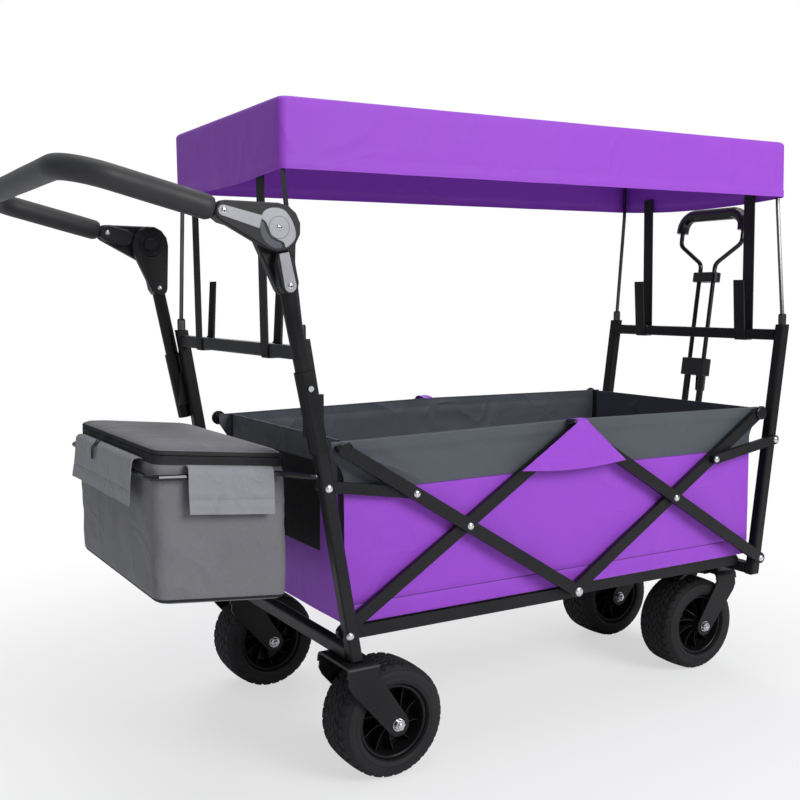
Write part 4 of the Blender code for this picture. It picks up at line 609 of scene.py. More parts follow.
def fin_shape(turn):
    """One curved fin on the outer face of the dish."""
    shape = bmesh.new()
    rows = []
    for n in range(FIN_STEPS + 1):
        share = n / FIN_STEPS
        radius = FIN_START + (FIN_END - FIN_START) * share
        angle = turn + FIN_SWEEP * math.sin(share * math.pi / 2)
        top = FIN_TOP - FIN_FALL * share - FIN_DIP * math.sin(math.pi * share)
        across = Vector((-math.sin(angle), 0, math.cos(angle)))
        middle = Vector((radius * math.cos(angle), 0, radius * math.sin(angle)))
        row = [middle - across * FIN_HALF, middle - across * FIN_HALF * 0.6]
        row += [middle + across * FIN_HALF * 0.6, middle + across * FIN_HALF]
        heights = (FIN_FOOT, top, top, FIN_FOOT)
        rows.append([shape.verts.new(p + Vector((0, h, 0))) for p, h in zip(row, heights)])
    for row, other in zip(rows, rows[1:]):
        for n in range(3):
            shape.faces.new((row[n], row[n + 1], other[n + 1], other[n]))
    shape.faces.new(rows[0])
    shape.faces.new(rows[-1])
    return shape


print("fins on each face:", FINS)


# %% Turn the dish and place the wheels
def hub_shape():
    """The dish, turned from half its section and the mirror of it, with fins on both faces."""
    half = [(0.0577, 0.0), (0.0577, 0.0352), (0.0566, 0.0364), (0.0538, 0.0366), (0.0526, 0.0356)]
    half += [(0.0519, 0.0330), (0.0508, 0.0200), (0.0490, 0.0095), (0.0455, 0.0052)]
    half += [(0.0400, 0.0038), (0.0200, 0.0036), (0.0158, 0.0062), (0.0150, 0.0300)]
    half += [(0.0144, 0.0440), (0.0134, 0.0452), (0.0056, 0.0452), (0.0056, 0.0)]
    other = [(radius, -along) for radius, along in reversed(half[1:-1])]
    body = turned(half + other, 72, closed=True)
    fins = []
    for n in range(FINS):
        turn = 2 * math.pi * n / FINS
        fins += [fin_shape(turn), flipped(fin_shape(turn))]
    return merged([body, *fins])


def place_wheels():
    """One tyre mesh and one hub mesh, used at all four wheels."""
    rubber = finished_mesh("tyre", tyre_shape(), RUBBER, 28)
    moulding = finished_mesh("hub", hub_shape(), WHEEL_PLASTIC, 28)
    for end, (x, y) in AXLES.items():
        for side_name, side in SIDES.items():
            where = end + "_" + side_name
            for kind, mesh, paint in (("tyre", rubber, "tyre"), ("hub", moulding, "hub")):
                place = (x, side * y, TYRE_RADIUS)
                piece = hang(where + "_" + kind, mesh, "wheel_" + where, place)
                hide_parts(kind + "_" + where)
    return len(rubber.polygons), len(moulding.polygons)


print("faces in a tyre and a hub:", place_wheels())

# %% [markdown]
# ## Rivets and nuts
#
# The links turn on big zinc rivets, and a six-sided nut with a round cap closes each axle. Against
# the black they are the brightest points of the whole wagon, so each gets a dome of its own with a
# soft edge. The list says where each rivet is, how far out its face is, and on which body it rides.
# The same list runs for both sides of the wagon.

# %% Set the rivets
HALF_SPAN, LOW_Z, CROSS_Z = 0.442, 0.2323, 0.37015
STAY_ROOT, STAY_TIP = (0.473962, 0.455906), (0.318974, 0.431261)
OUTER_FACE, INNER_FACE, JOINT_FACE = 0.2630, 0.2522, 0.2520
RIVET_HEAD, BIG_HEAD, HEAD_HEIGHT, NUT_FACE = 0.0063, 0.0082, 0.0031, 0.0513


def dome(x, z, face, side, radius, height):
    """A low dome on a face of the wagon's side. face is how far out it lies."""
    profile = [(0, height), (radius * 0.35, height * 0.97), (radius * 0.68, height * 0.78)]
    profile += [(radius * 0.92, height * 0.38), (radius, 0), (radius, -0.0008)]
    shape = moved(turned(profile, 20), x, face, z)
    return shape if side > 0 else flipped(shape)


RIVETS = [
    (-HALF_SPAN, LOW_Z, OUTER_FACE, "rear_frame"),
    (-STAY_ROOT[0], STAY_ROOT[1], OUTER_FACE, "rear_frame"),
    (HALF_SPAN, LOW_Z, INNER_FACE, "front_frame"),
    (*STAY_ROOT, INNER_FACE, "front_frame"),
    (-HALF_SPAN / 2, CROSS_Z, INNER_FACE, "rear_inner_links"),
    (HALF_SPAN / 2, CROSS_Z, INNER_FACE, "front_outer_links"),
    (0.0, LOW_Z, JOINT_FACE, "rear_outer_links"),
    (-STAY_TIP[0], STAY_TIP[1], JOINT_FACE, "rear_outer_links"),
    (*STAY_TIP, JOINT_FACE, "front_stays"),
]


def set_rivets():
    """One piece for each body and side, with all the rivet heads that ride there."""
    made = 0
    for body in dict.fromkeys(rivet[-1] for rivet in RIVETS):
        for side_name, side in SIDES.items():
            heads = []
            for x, z, face, rides in RIVETS:
                if rides == body:
                    radius = BIG_HEAD if x == 0.0 else RIVET_HEAD
                    heads.append(dome(x, z, face, side, radius, HEAD_HEIGHT))
            made += len(heads)
            name = "rivets_%s_%s" % (body, side_name)
            new_piece(name, merged(heads), body, ZINC, 50)
    return made


print("rivets:", set_rivets())


# %% Close the axles with nuts
def axle_nut(x, side, face):
    """A six-sided nut with a rounded cap, on a washer."""
    washer = [(0, 0.0012), (0.0098, 0.0012), (0.0102, 0.0007), (0.0102, 0), (0, 0)]
    hexagon = [(0, 0.0062), (0.0074, 0.0062), (0.0090, 0.0050), (0.0090, 0.0010), (0, 0.0010)]
    cap = [(0, 0.0094), (0.0024, 0.0091), (0.0046, 0.0080), (0.0055, 0.0062), (0.0055, 0.0055)]
    whole = merged([turned(washer, 28), turned(hexagon, 6), turned(cap, 20)])
    whole = moved(whole, 0, face, TYRE_RADIUS)
    return moved(whole if side > 0 else flipped(whole), x)


def set_nuts():
    """A nut on each end of each axle, on the body that holds the axle."""
    for side_name, side in SIDES.items():
        for end, body in (("rear", "rear_frame"), ("front", "caster_" + side_name)):
            x, y = AXLES[end]
            both = [moved(axle_nut(x, out, NUT_FACE), 0, side * y) for out in (1, -1)]
            new_piece("nuts_%s_%s" % (end, side_name), merged(both), body, ZINC)


set_nuts()
print("nuts at both ends of", len(AXLES) * len(SIDES), "axles")

# %% [markdown]
# ## The knuckles of the push handle
#
# Where the push handle tilts there is a moulded knuckle on each side. Its outer face carries satin
# grey inlays: a plate along each arm with a screw at its end, and a plate over the middle with a
# curved edge like a comma. A thin dark ring on that plate is painted shade for its fine round
# groove. A darker, glossy crescent fits beside it. Dark bars on the outer screws are painted shade
# for their cross cuts. The inner face has a raised ring round its button and a screw on each arm.
# The outlines are drawn flat, seen from outside, and given a thickness.

# %% Inlays, screws and the comma plate
KNUCKLE, KNUCKLE_FACE = Vector((-0.5588, 0.824)), 0.2925
UPPER_ARM, LOWER_ARM = (-0.9677, 0.2521), (0.1961, -0.9806)
INLAY_LOW, INLAY_HIGH = KNUCKLE_FACE - 0.002, KNUCKLE_FACE + 0.0007
INLAY_END, CRESCENT_SUNK, EASED_EDGE = 0.0885, 0.0003, 0.0004
RING_FACE, INNER_SCREW_FACE = -0.2625, -0.2632


def flat_plate(outline, low, high, side):
    """A plate cut to an outline in X and Z, between two distances from the wagon's middle."""
    shape = bmesh.new()
    centre = sum((Vector(point) for point in outline), Vector((0, 0))) / len(outline)
    levels = [(low, False), (high - EASED_EDGE, False), (high, True)]
    rings = []
    for y, eased in levels:
        loop = []
        for point in outline:
            place = Vector(point)
            if eased:
                place -= (place - centre).normalized() * EASED_EDGE
            loop.append(shape.verts.new((place.x, y, place.y)))
        rings.append(loop)
    for ring, other in zip(rings, rings[1:]):
        for n in range(len(ring)):
            m = (n + 1) % len(ring)
            shape.faces.new((ring[n], ring[m], other[m], other[n]))
    shape.faces.new(rings[0])
    shape.faces.new(rings[-1])
    bmesh.ops.triangulate(shape, faces=[face for face in shape.faces if len(face.verts) > 4])
    return shape if side > 0 else flipped(shape)


def arm_outline(direction, near, far, near_half, far_half):
    """A bar along an arm of the knuckle with a round far end."""
    along = Vector(direction).normalized()
    across = Vector((-along.y, along.x))
    points = [KNUCKLE + along * near - across * near_half]
    for n in range(11):
        angle = math.pi * n / 10 - math.pi / 2
        reach = far - far_half + far_half * math.cos(angle)
        points.append(KNUCKLE + along * reach + across * far_half * math.sin(angle))
    points.append(KNUCKLE + along * near + across * near_half)
    return points


def smooth_outline(points, parts=6):
    """A round closed curve through a few points."""
    count = len(points)
    curve = []
    for n in range(count):
        a, b, c, d = (Vector(points[(n + k) % count]) for k in (-1, 0, 1, 2))
        for k in range(parts):
            t = k / parts
            square, cube = t * t, t * t * t
            place = a * (-cube + 2 * square - t) + b * (3 * cube - 5 * square + 2)
            place += c * (-3 * cube + 4 * square + t) + d * (cube - square)
            curve.append(place / 2)
    return curve


print("plate helpers ready")


# %% A screw with raised bars for its cross cut
def screw(centre, face, side, radius):
    """A pan head screw seen from outside, with two thin raised bars over its head for the cross cut."""
    head = dome(*centre, face, 1, radius, 0.0017)
    bars = []
    # The bars stand for the cross cut. Where they take a dark finish, they are its painted shade.
    for width, height in ((0.0026, 0.0006), (0.0006, 0.0026)):
        outline = [(-width, -height), (width, -height), (width, height), (-width, height)]
        outline = [(centre[0] + a, centre[1] + b) for a, b in outline]
        bars.append(flat_plate(outline, face + 0.001, face + 0.00182, 1))
    if side < 0:
        head, bars = flipped(head), [flipped(bar) for bar in bars]
    return head, bars


print("screw helper ready")

# %% Trim the outer faces
COMMA = [(-0.021, 0.0215), (-0.008, 0.0262), (0.008, 0.0235), (0.019, 0.010), (0.0245, -0.006)]
COMMA += [(0.022, -0.017), (0.010, -0.0265), (0.0065, -0.020), (-0.001, -0.0165)]
COMMA += [(-0.012, -0.0105), (-0.0165, 0.001), (-0.0195, 0.007), (-0.0255, 0.0125)]
CRESCENT = [(-0.0282, 0.006), (-0.026, -0.010), (-0.018, -0.0215), (-0.006, -0.0275)]
CRESCENT += [(0.004, -0.0265), (0.002, -0.0205), (-0.009, -0.0165), (-0.0175, -0.0075)]
CRESCENT += [(-0.0212, 0.0025), (-0.0235, 0.008)]
OUTER_SCREWS = [("push_grip", UPPER_ARM, 0.0805, 0.0048), ("push_grip", UPPER_ARM, 0.0, 0.0042)]
OUTER_SCREWS += [("push_handle", LOWER_ARM, 0.0800, 0.0048)]
# A thin dark ring on the comma plate: painted shade for its fine round groove, which is not cut.
GROOVE_SHADE_RING = [(0.0147, -0.0001), (0.0147, 0.0001), (0.0152, 0.0001), (0.0152, -0.0001)]
RING = [(0.0150, 0), (0.0150, 0.0012), (0.0162, 0.0018), (0.0196, 0.0018), (0.0210, 0.0010)]
RING += [(0.0212, 0)]


def trim_knuckles():
    """Plates, the painted shade of a round groove, and screws on the outer face of each knuckle."""
    for side_name, side in SIDES.items():
        low, high = INLAY_LOW, INLAY_HIGH
        comma = smooth_outline([KNUCKLE + Vector(point) for point in COMMA])
        upper = arm_outline(UPPER_ARM, 0.0270, INLAY_END, 0.0088, 0.0072)
        plates = merged([flat_plate(comma, low, high, side), flat_plate(upper, low, high, side)])
        new_piece("knuckle_inlays_" + side_name, plates, "push_grip", SATIN_PLATE)
        lower = arm_outline(LOWER_ARM, 0.0345, INLAY_END, 0.0072, 0.0090)
        plate = flat_plate(lower, low, high, side)
        new_piece("lower_inlay_" + side_name, plate, "push_handle", SATIN_PLATE)
        crescent = smooth_outline([KNUCKLE + Vector(point) for point in CRESCENT])
        plate = flat_plate(crescent, low, high - CRESCENT_SUNK, side)
        new_piece("knuckle_crescent_" + side_name, plate, "push_grip", GLOSS_GREY)
        # The groove is not cut; this dark ring paints its shade.
        groove = moved(turned(GROOVE_SHADE_RING, 48, closed=True), KNUCKLE.x, side * high, KNUCKLE.y)
        new_piece("knuckle_groove_shade_" + side_name, groove, "push_grip", WHEEL_PLASTIC)
        for body, direction, distance, size in OUTER_SCREWS:
            centre = KNUCKLE + Vector(direction) * distance
            head, bars = screw(centre, high, side, size)
            name = "%s_%s_%d" % (body, side_name, round(distance * 1000))
            new_piece("screw_" + name, head, body, ZINC, 50)
            # Black bars over each outer screw head are painted shade in its cross cut.
            new_piece("cross_cut_shade_" + name, merged(bars), body, PLASTIC)


trim_knuckles()
print("outer faces trimmed, screws on each:", len(OUTER_SCREWS))


# %% Trim the inner faces
def trim_inner_faces():
    """A ring and screws on the inner face of each knuckle."""
    for side_name, side in SIDES.items():
        piece = moved(turned(RING, 48, closed=True), KNUCKLE.x, RING_FACE, KNUCKLE.y)
        piece = flipped(piece) if side > 0 else piece
        new_piece("knuckle_ring_" + side_name, piece, "push_grip", WHEEL_PLASTIC)
        for body, direction in (("push_grip", UPPER_ARM), ("push_handle", LOWER_ARM)):
            centre = KNUCKLE + Vector(direction) * 0.0780
            head, bars = screw(centre, INNER_SCREW_FACE, 1, 0.0046)
            whole = merged([head] + bars)
            whole = flipped(whole) if side > 0 else whole
            name = "inner_screw_%s_%s" % (body, side_name)
            new_piece(name, whole, body, ZINC, 50)


trim_inner_faces()
print("inner faces trimmed")

# %% [markdown]
# ## The foam on the push bar
#
# The push bar is a bent steel tube in a foam sleeve. A curve object with a bevel would give the
# sleeve quickly, but its ends would be cut flat. Sweeping a ring of points along the path costs a
# few more lines and lets the ring shrink at the two ends, as the rolled ends of real foam do.


# %% Sweep the sleeve
FOAM_START, FOAM_END, BAR_HALF, BEND_RADIUS = 0.0930, 0.2875, 0.2775, 0.060
FOAM_RADIUS, FOAM_STEP, FOAM_ROLL, ROLLED_SIZE = 0.0169, 0.006, 0.005, 0.86


def rounded_path(points, radius, count):
    """A path whose inner corners are arcs of one radius."""
    points = [Vector(point) for point in points]
    path = [points[0]]
    for before, corner, after in zip(points, points[1:], points[2:]):
        one, two = (before - corner).normalized(), (after - corner).normalized()
        half = one.angle(two) / 2
        start = corner + one * (radius / math.tan(half))
        end = corner + two * (radius / math.tan(half))
        centre = corner + (one + two).normalized() * (radius / math.sin(half))
        for n in range(count + 1):
            spoke = (start - centre).slerp(end - centre, n / count)
            path.append(centre + spoke.normalized() * radius)
    path.append(points[-1])
    return path


def spread(path, gap):
    """The same path with a point at least every gap, so that it can be shaped along its length."""
    full = [path[0]]
    for start, end in zip(path, path[1:]):
        count = max(1, math.ceil((end - start).length / gap))
        full += [start.lerp(end, n / count) for n in range(1, count + 1)]
    return full


def swept(path, ring, sizes):
    """A ring of (side, across) points drawn along a path, with a size at each of its points."""
    shape = bmesh.new()
    side = Vector((0, 0, 1))
    rings = []
    for n, place in enumerate(path):
        before = (place - path[n - 1]).normalized() if n else None
        after = (path[n + 1] - place).normalized() if n + 1 < len(path) else None
        along = ((before or after) + (after or before)).normalized()
        side = (side - along * side.dot(along)).normalized()
        across = along.cross(side)
        size = sizes[n]
        rings.append([shape.verts.new(place + (side * a + across * b) * size) for a, b in ring])
    for low, high in zip(rings, rings[1:]):
        for n in range(len(ring)):
            m = (n + 1) % len(ring)
            shape.faces.new((low[n], low[m], high[m], high[n]))
    shape.faces.new(rings[0])
    shape.faces.new(rings[-1])
    return shape


def round_ring(radius, count):
    turn = 2 * math.pi / count
    return [(radius * math.cos(turn * n), radius * math.sin(turn * n)) for n in range(count)]


print("path helpers ready")


# %% Cover the push bar
def cover_push_bar():
    """The sleeve from one knuckle round to the other, a little uneven, with rolled ends."""
    ends = [(FOAM_START, BAR_HALF), (FOAM_END, BAR_HALF), (FOAM_END, -BAR_HALF), (FOAM_START, -BAR_HALF)]
    corners = []
    for distance, y in ends:
        place = KNUCKLE + Vector(UPPER_ARM) * distance
        corners.append((place.x, y, place.y))
    path = spread(rounded_path(corners, BEND_RADIUS, 14), FOAM_STEP)
    run = [0.0]
    for start, end in zip(path, path[1:]):
        run.append(run[-1] + (end - start).length)
    sizes = []
    for distance in run:
        end = min(distance, run[-1] - distance)
        roll = math.sqrt(max(0.0, 1 - (1 - min(end / FOAM_ROLL, 1)) ** 2))
        uneven = 0.006 * math.sin(distance * 40) * min(end / 0.02, 1)
        sizes.append(ROLLED_SIZE + 0.14 * roll + uneven)
    sleeve = swept(path, round_ring(FOAM_RADIUS, 32), sizes)
    foam = new_piece("push_bar_foam", sleeve, "push_grip", FOAM, 60)
    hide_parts("push_grip")
    return run[-1]


print("foam length:", round(cover_push_bar(), 3))

# %% [markdown]
# ## Finishes for cloth
#
# The cloth is coated polyester: a plain weave too fine to see from far, which breaks up the shine.
# Wider creases run over it where it is pulled between its seams. Two bumps in a row give both, the
# creases first and the threads on top. A little sheen lightens it where it turns away, as real
# cloth does. The lining is the same cloth in grey, set a little lighter than the slate as painted
# light for inner faces that the lamps hardly reach. Webbing and the mesh panel are coarser black
# weaves, and the shade in a sewn seam is painted as a dark row of the purple cloth.


# %% Recipe for woven cloth
def woven(name, dark, light, rough, thread, crease, crease_size, **constants):
    """A woven finish. crease is the depth of its creases, crease_size how wide they are."""
    look, tree, shader = new_look(name, **constants)
    weave = group_node(tree, WEAVE, thread=thread)
    tree.links.new(tinted(tree, weave.outputs["Tone"], dark, light), shader.inputs["Base Color"])
    tree.links.new(wander(tree, weave.outputs["Tone"], *rough), shader.inputs["Roughness"])
    folds = group_node(tree, CREASES, size=crease_size)
    wide = node(tree, "Bump", {"Height": folds.outputs[0], "Distance": crease, "Strength": 1.0})
    sockets = {"Height": weave.outputs["Height"], "Distance": thread * 0.15, "Strength": 0.5}
    fine = node(tree, "Bump", {**sockets, "Normal": wide.outputs[0]})
    tree.links.new(fine.outputs[0], shader.inputs["Normal"])
    return look


print("recipe for woven cloth ready")

# %% The cloths
SHEEN = {"Sheen_Weight": 0.12, "Sheen_Roughness": 0.5, "Specular_IOR_Level": 0.35}
PURPLE = woven(
    "purple_cloth", (0.285, 0.050, 0.555), (0.325, 0.060, 0.620), (0.52, 0.66),
    0.0008, 0.0018, 0.16, **SHEEN
)
SLATE = woven(
    "slate_cloth", (0.064, 0.071, 0.086), (0.078, 0.086, 0.102), (0.50, 0.64),
    0.0008, 0.0025, 0.14, **SHEEN
)
# The lining's grey is its own colour, set a little lighter than the slate as painted light on inner
# faces that the lamps hardly reach.
LINING_PAINTED_LIGHT = woven(
    "grey_lining_painted_light", (0.066, 0.073, 0.090), (0.082, 0.090, 0.110), (0.50, 0.64),
    0.0008, 0.003, 0.12, **SHEEN
)
BAG_CLOTH = woven(
    "bag_cloth", (0.150, 0.149, 0.162), (0.190, 0.189, 0.204), (0.60, 0.75),
    0.0011, 0.0022, 0.09, **SHEEN
)
FLAP_CLOTH = woven(
    "flap_cloth", (0.250, 0.252, 0.270), (0.300, 0.302, 0.320), (0.60, 0.75),
    0.0011, 0.002, 0.05, **SHEEN
)
PAD_CLOTH = woven(
    "pad_cloth", (0.045, 0.046, 0.052), (0.062, 0.063, 0.070), (0.60, 0.75),
    0.0011, 0.002, 0.05, **SHEEN
)
WEBBING = woven(
    "webbing", (0.012, 0.012, 0.013), (0.028, 0.028, 0.030), (0.60, 0.80),
    0.0019, 0.0005, 0.03, Specular_IOR_Level=0.3
)
# Painted shade: this dark purple row stands for the shade in the crease of a sewn seam.
PURPLE_SEAM_SHADE = woven(
    "purple_seam_shade", (0.090, 0.014, 0.190), (0.110, 0.018, 0.230), (0.60, 0.75),
    0.0008, 0.0005, 0.1, **SHEEN
)
MESH = woven(
    "black_mesh", (0.006, 0.006, 0.007), (0.014, 0.014, 0.015), (0.60, 0.80),
    0.0030, 0.0005, 0.03, Specular_IOR_Level=0.25
)
print("cloth finishes ready")

# %% [markdown]
# ## Sheets
#
# Every cloth piece is a grid of points with a second layer behind it, closed along its edges. A
# Solidify modifier would also give the thickness, but drawing both layers lets the lining have a
# colour of its own. No cloth simulation is used: this cloth is sewn tight round a frame, and what
# shows is its cut, its seams and small waves, which plain functions place better than chance does.


# %% A grid, its second layer, and small waves
def grid_of(lines, paint=None, around=False):
    """Faces between lines of points. paint gives a finish's number for a face, by its line and row."""
    shape = bmesh.new()
    verts = [[shape.verts.new(point) for point in line] for line in lines]
    wrap = len(lines[0]) if around else len(lines[0]) - 1
    for i in range(len(lines) - 1):
        for j in range(wrap):
            k = (j + 1) % len(lines[0])
            face = shape.faces.new((verts[i][j], verts[i + 1][j], verts[i + 1][k], verts[i][k]))
            face.material_index = paint(i, j) if paint else 0
    return shape


def doubled(shape, thick, lining=()):
    """A sheet gets an inner side, closed along its edges. lining gives its finish, by the outer one."""
    shape.normal_update()
    faces = list(shape.faces)
    edges = []
    for edge in shape.edges:
        if edge.is_boundary:
            loop = edge.link_loops[0]
            edges.append((loop.vert, loop.link_loop_next.vert, loop.face.material_index))
    inner = {vert: (vert.co - vert.normal * thick) for vert in shape.verts}
    inner = {vert: shape.verts.new(place) for vert, place in inner.items()}
    for face in faces:
        made = shape.faces.new([inner[vert] for vert in reversed(face.verts)])
        made.material_index = dict(lining).get(face.material_index, face.material_index)
    for start, end, index in edges:
        shape.faces.new((end, start, inner[start], inner[end])).material_index = index
    return shape


def faced_out(shape, by_top):
    """The faces of a closed-off sheet look outwards. Its highest or its lowest point tells."""
    bmesh.ops.recalc_face_normals(shape, faces=shape.faces)
    if by_top:
        inwards = max(shape.verts, key=lambda vert: vert.co.z).link_faces[0].normal.z < 0
    else:
        inwards = min(shape.verts, key=lambda vert: vert.co.z).link_faces[0].normal.z > 0
    if inwards:
        bmesh.ops.reverse_faces(shape, faces=shape.faces)
    return shape


def wave(x, y, z, size, depth):
    """A small smooth offset that changes from place to place."""
    return noise.noise(Vector((x, y, z)) / size) * depth


print("sheet helpers ready")


# %% Even steps and a round plan
def steps(start, end, count):
    return [start + (end - start) * n / count for n in range(count + 1)]


def round_plan(centre, half_x, half_y, radius, corner=6, long_side=30, short_side=14):
    """Points round a rectangle with round corners, always as many, counterclockwise from above."""
    plan = []
    for n, (sign_x, sign_y) in enumerate(((1, 1), (-1, 1), (-1, -1), (1, -1))):
        middle = Vector((centre + sign_x * (half_x - radius), sign_y * (half_y - radius)))
        for k in range(corner + 1):
            angle = math.pi / 2 * (n + k / corner)
            plan.append(middle + Vector((math.cos(angle), math.sin(angle))) * radius)
        turn = (-sign_y, sign_x)
        far = Vector((centre + turn[0] * (half_x - radius), turn[1] * (half_y - radius)))
        angle = math.pi / 2 * (n + 1)
        far += Vector((math.cos(angle), math.sin(angle))) * radius
        count = long_side if n % 2 == (0 if half_x > half_y else 1) else short_side
        plan += [plan[-1].lerp(far, m / count) for m in range(1, count)]
    return plan


# %% [markdown]
# ## The canopy
#
# The canopy is one sheet stretched over two bows. Its top sags a little between them, its edges
# turn down over a small radius, and a valance hangs all round with a hem at the bottom. It is drawn
# as rings, from the spine out to the hem, so that the cloth turns all four edges in one surface.


# %% Draw the canopy in rings
CANOPY_TOP, CANOPY_MIDDLE = 1.0135, -0.0035
CANOPY_HALF_X, CANOPY_HALF_Y, EDGE_BEND = 0.5205, 0.2225, 0.008
SAG, END_DROOP, VALANCE, HEM_FROM, HEM_THICK = 0.012, 0.009, 0.102, 0.0895, 0.0009


def canopy_point(x, y, inset, drop, plan_y):
    """A point of the canopy. inset is its distance from the edge, drop how far down the valance."""
    across = (x - CANOPY_MIDDLE) / CANOPY_HALF_X
    side = y / CANOPY_HALF_Y
    down = min(drop / VALANCE, 1.0)
    sag = SAG * math.cos(across * math.pi / 2) * math.cos(side * math.pi / 2) if inset > 0.004 else 0
    pull = min(inset / 0.05, 1.0) * 0.0016
    lift = wave(x, y, 0, 0.09, pull) + wave(x, y * 2.2, 3, 0.05, pull * 0.5)
    out = down * (0.0012 + wave(x, y, 7, 0.07, 0.0034))
    on_end = abs(x - CANOPY_MIDDLE) > CANOPY_HALF_X - 0.002
    droop = END_DROOP * (1 - (plan_y / CANOPY_HALF_Y) ** 2) * down if on_end else 0.0
    hem = HEM_THICK if drop > HEM_FROM else 0.0
    reach_x, reach_y = (across, 0) if on_end else (0, side)
    long = math.hypot(reach_x, reach_y) or 1.0
    scale = (out + hem) / long if drop > 0 else 0.0
    return (x + reach_x * scale, y + reach_y * scale, CANOPY_TOP - sag - drop - droop + lift)


def canopy_shape():
    """Rings from the spine out to the edge, round the bend and down the valance."""
    plan = round_plan(CANOPY_MIDDLE, CANOPY_HALF_X, CANOPY_HALF_Y, 0.012, 5, 72, 34)
    insets = (CANOPY_HALF_Y, 0.19, 0.16, 0.13, 0.10, 0.075, 0.052, 0.034, 0.020, 0.012)
    drops = (0.016, 0.028, 0.042, 0.056, 0.070, 0.081, 0.0885, 0.0900, 0.096, VALANCE)
    rings = [(inset, 0.0) for inset in insets]
    for n in range(1, 6):
        angle = math.pi / 2 * n / 5
        rings.append((EDGE_BEND * (1 - math.sin(angle)), EDGE_BEND * (1 - math.cos(angle))))
    rings += [(0.0, drop) for drop in drops]
    lines = []
    for inset, drop in rings:
        line = []
        for point in plan:
            x = CANOPY_MIDDLE + (point.x - CANOPY_MIDDLE) * (CANOPY_HALF_X - inset) / CANOPY_HALF_X
            y = point.y * (CANOPY_HALF_Y - inset) / CANOPY_HALF_Y
            line.append(canopy_point(x, y, inset, drop, point.y))
        lines.append(line)
    shape = grid_of(lines, around=True)
    bmesh.ops.remove_doubles(shape, verts=shape.verts, dist=0.0004)
    return doubled(faced_out(shape, by_top=True), 0.0014)


canopy = new_piece("canopy_cloth", canopy_shape(), "rear_frame", PURPLE, 60)
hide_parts("canopy")
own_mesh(canopy)
print("canopy faces:", len(canopy.data.polygons))

# %% [markdown]
# ## Webbing
#
# Four straps hold the canopy to the crossbars: each comes down inside the valance, goes round the
# bar and is sewn to itself, with its free end turned up. The frame has the strap as a plain strip
# of plastic, so the webbing is the same outline a hair larger, and covers it.


# %% Straps round the crossbars
STRAP_Y, STRAP_HALF, STRAP_TOP = 0.140, 0.0129, 0.9335


def strap_outline(end):
    """The strap in X and Z, as it goes round a crossbar and up again."""
    bar = -0.50637 if end < 0 else 0.50410
    top_x = end * (0.5204 if end < 0 else 0.5134)
    skin = 0.00035
    inside, outside = 0.0098 - skin, 0.0116 + skin
    bottom, tail = 0.642 + skin, 0.757 + skin
    return [
        (top_x + end * skin, STRAP_TOP),
        (bar + end * outside, bottom + 0.002),
        (bar + end * (outside - 0.002), bottom - 0.0016 - 2 * skin),
        (bar - end * (outside - 0.002), bottom - 0.0016 - 2 * skin),
        (bar - end * outside, bottom + 0.002),
        (bar - end * (outside + 0.006), tail),
        (bar - end * (outside + 0.0044 - 2 * skin), tail),
        (bar - end * inside, 0.664 + skin),
        (bar - end * inside, bottom),
        (bar + end * inside, bottom),
        (bar + end * inside, 0.664 + skin),
        (top_x - end * (0.0016 + skin), STRAP_TOP),
    ]


def cut_straps():
    """Two straps at each end, one on each side of the middle."""
    for end_name, end in ENDS.items():
        both = []
        for side in (1, -1):
            strap = flat_plate(strap_outline(end), -STRAP_HALF, STRAP_HALF, 1)
            both.append(moved(strap, y=side * STRAP_Y))
        body = end_name + "_frame"
        new_piece(end_name + "_straps", merged(both), body, WEBBING, 40)


cut_straps()
print("straps cut")

# %% [markdown]
# ## The tub
#
# The tub's side is a strip of slate grey along the top and purple below, with a grey lining that is
# set a little lighter than the slate as painted light for its inner faces. It is hemmed along its
# upper edge, and has a sewn seam where the colours meet and another near the bottom, whose shade is
# painted as a dark purple row. It hangs from the caps of the links, so it swells out a little
# between them. Over the middle joint a purple flap folds down outside the links, with its edges
# running straight from a point at the top. The end walls are stiffer, with taped edges, and the
# rear one has a panel of black mesh. A narrow strip joins the foot of each to the padded floor. The
# painted shade of a seam, a tape and the mesh could be pieces of their own, but they are rows of
# the same sheet, so they only take other finishes, and nothing can part when the wagon folds.


# %% The sides
# Each row of a tub sheet takes one of these finishes, by its place in the list.
TUB_LOOKS = [PURPLE, SLATE, LINING_PAINTED_LIGHT, WEBBING, MESH, PURPLE_SEAM_SHADE]
PURPLE_ROW, SLATE_ROW, LINING_PAINTED_LIGHT_ROW, TAPE_ROW, MESH_ROW, SEAM_SHADE_ROW = range(6)
# Inner sides of purple, slate and seam rows take the lining, with its painted light.
LINED = {PURPLE_ROW: LINING_PAINTED_LIGHT_ROW, SLATE_ROW: LINING_PAINTED_LIGHT_ROW, SEAM_SHADE_ROW: LINING_PAINTED_LIGHT_ROW}
FLOOR_EDGE, SEAM, BAND, SIDE_TOP, END_TOP = 0.2385, 0.268, 0.4415, 0.5165, 0.518
SIDE_PLANE, SWELL, MOST_OUT = 0.2258, 0.0048, 0.0062
END_X, END_HALF, FLOOR_Z = 0.4315, 0.2220, 0.2392
FLAP_TURN, FLAP_IN, FLAP_OUT, FLAP_TOP, FLAP_DROP = 0.16, 0.2238, 0.0332, 0.5215, 0.0715


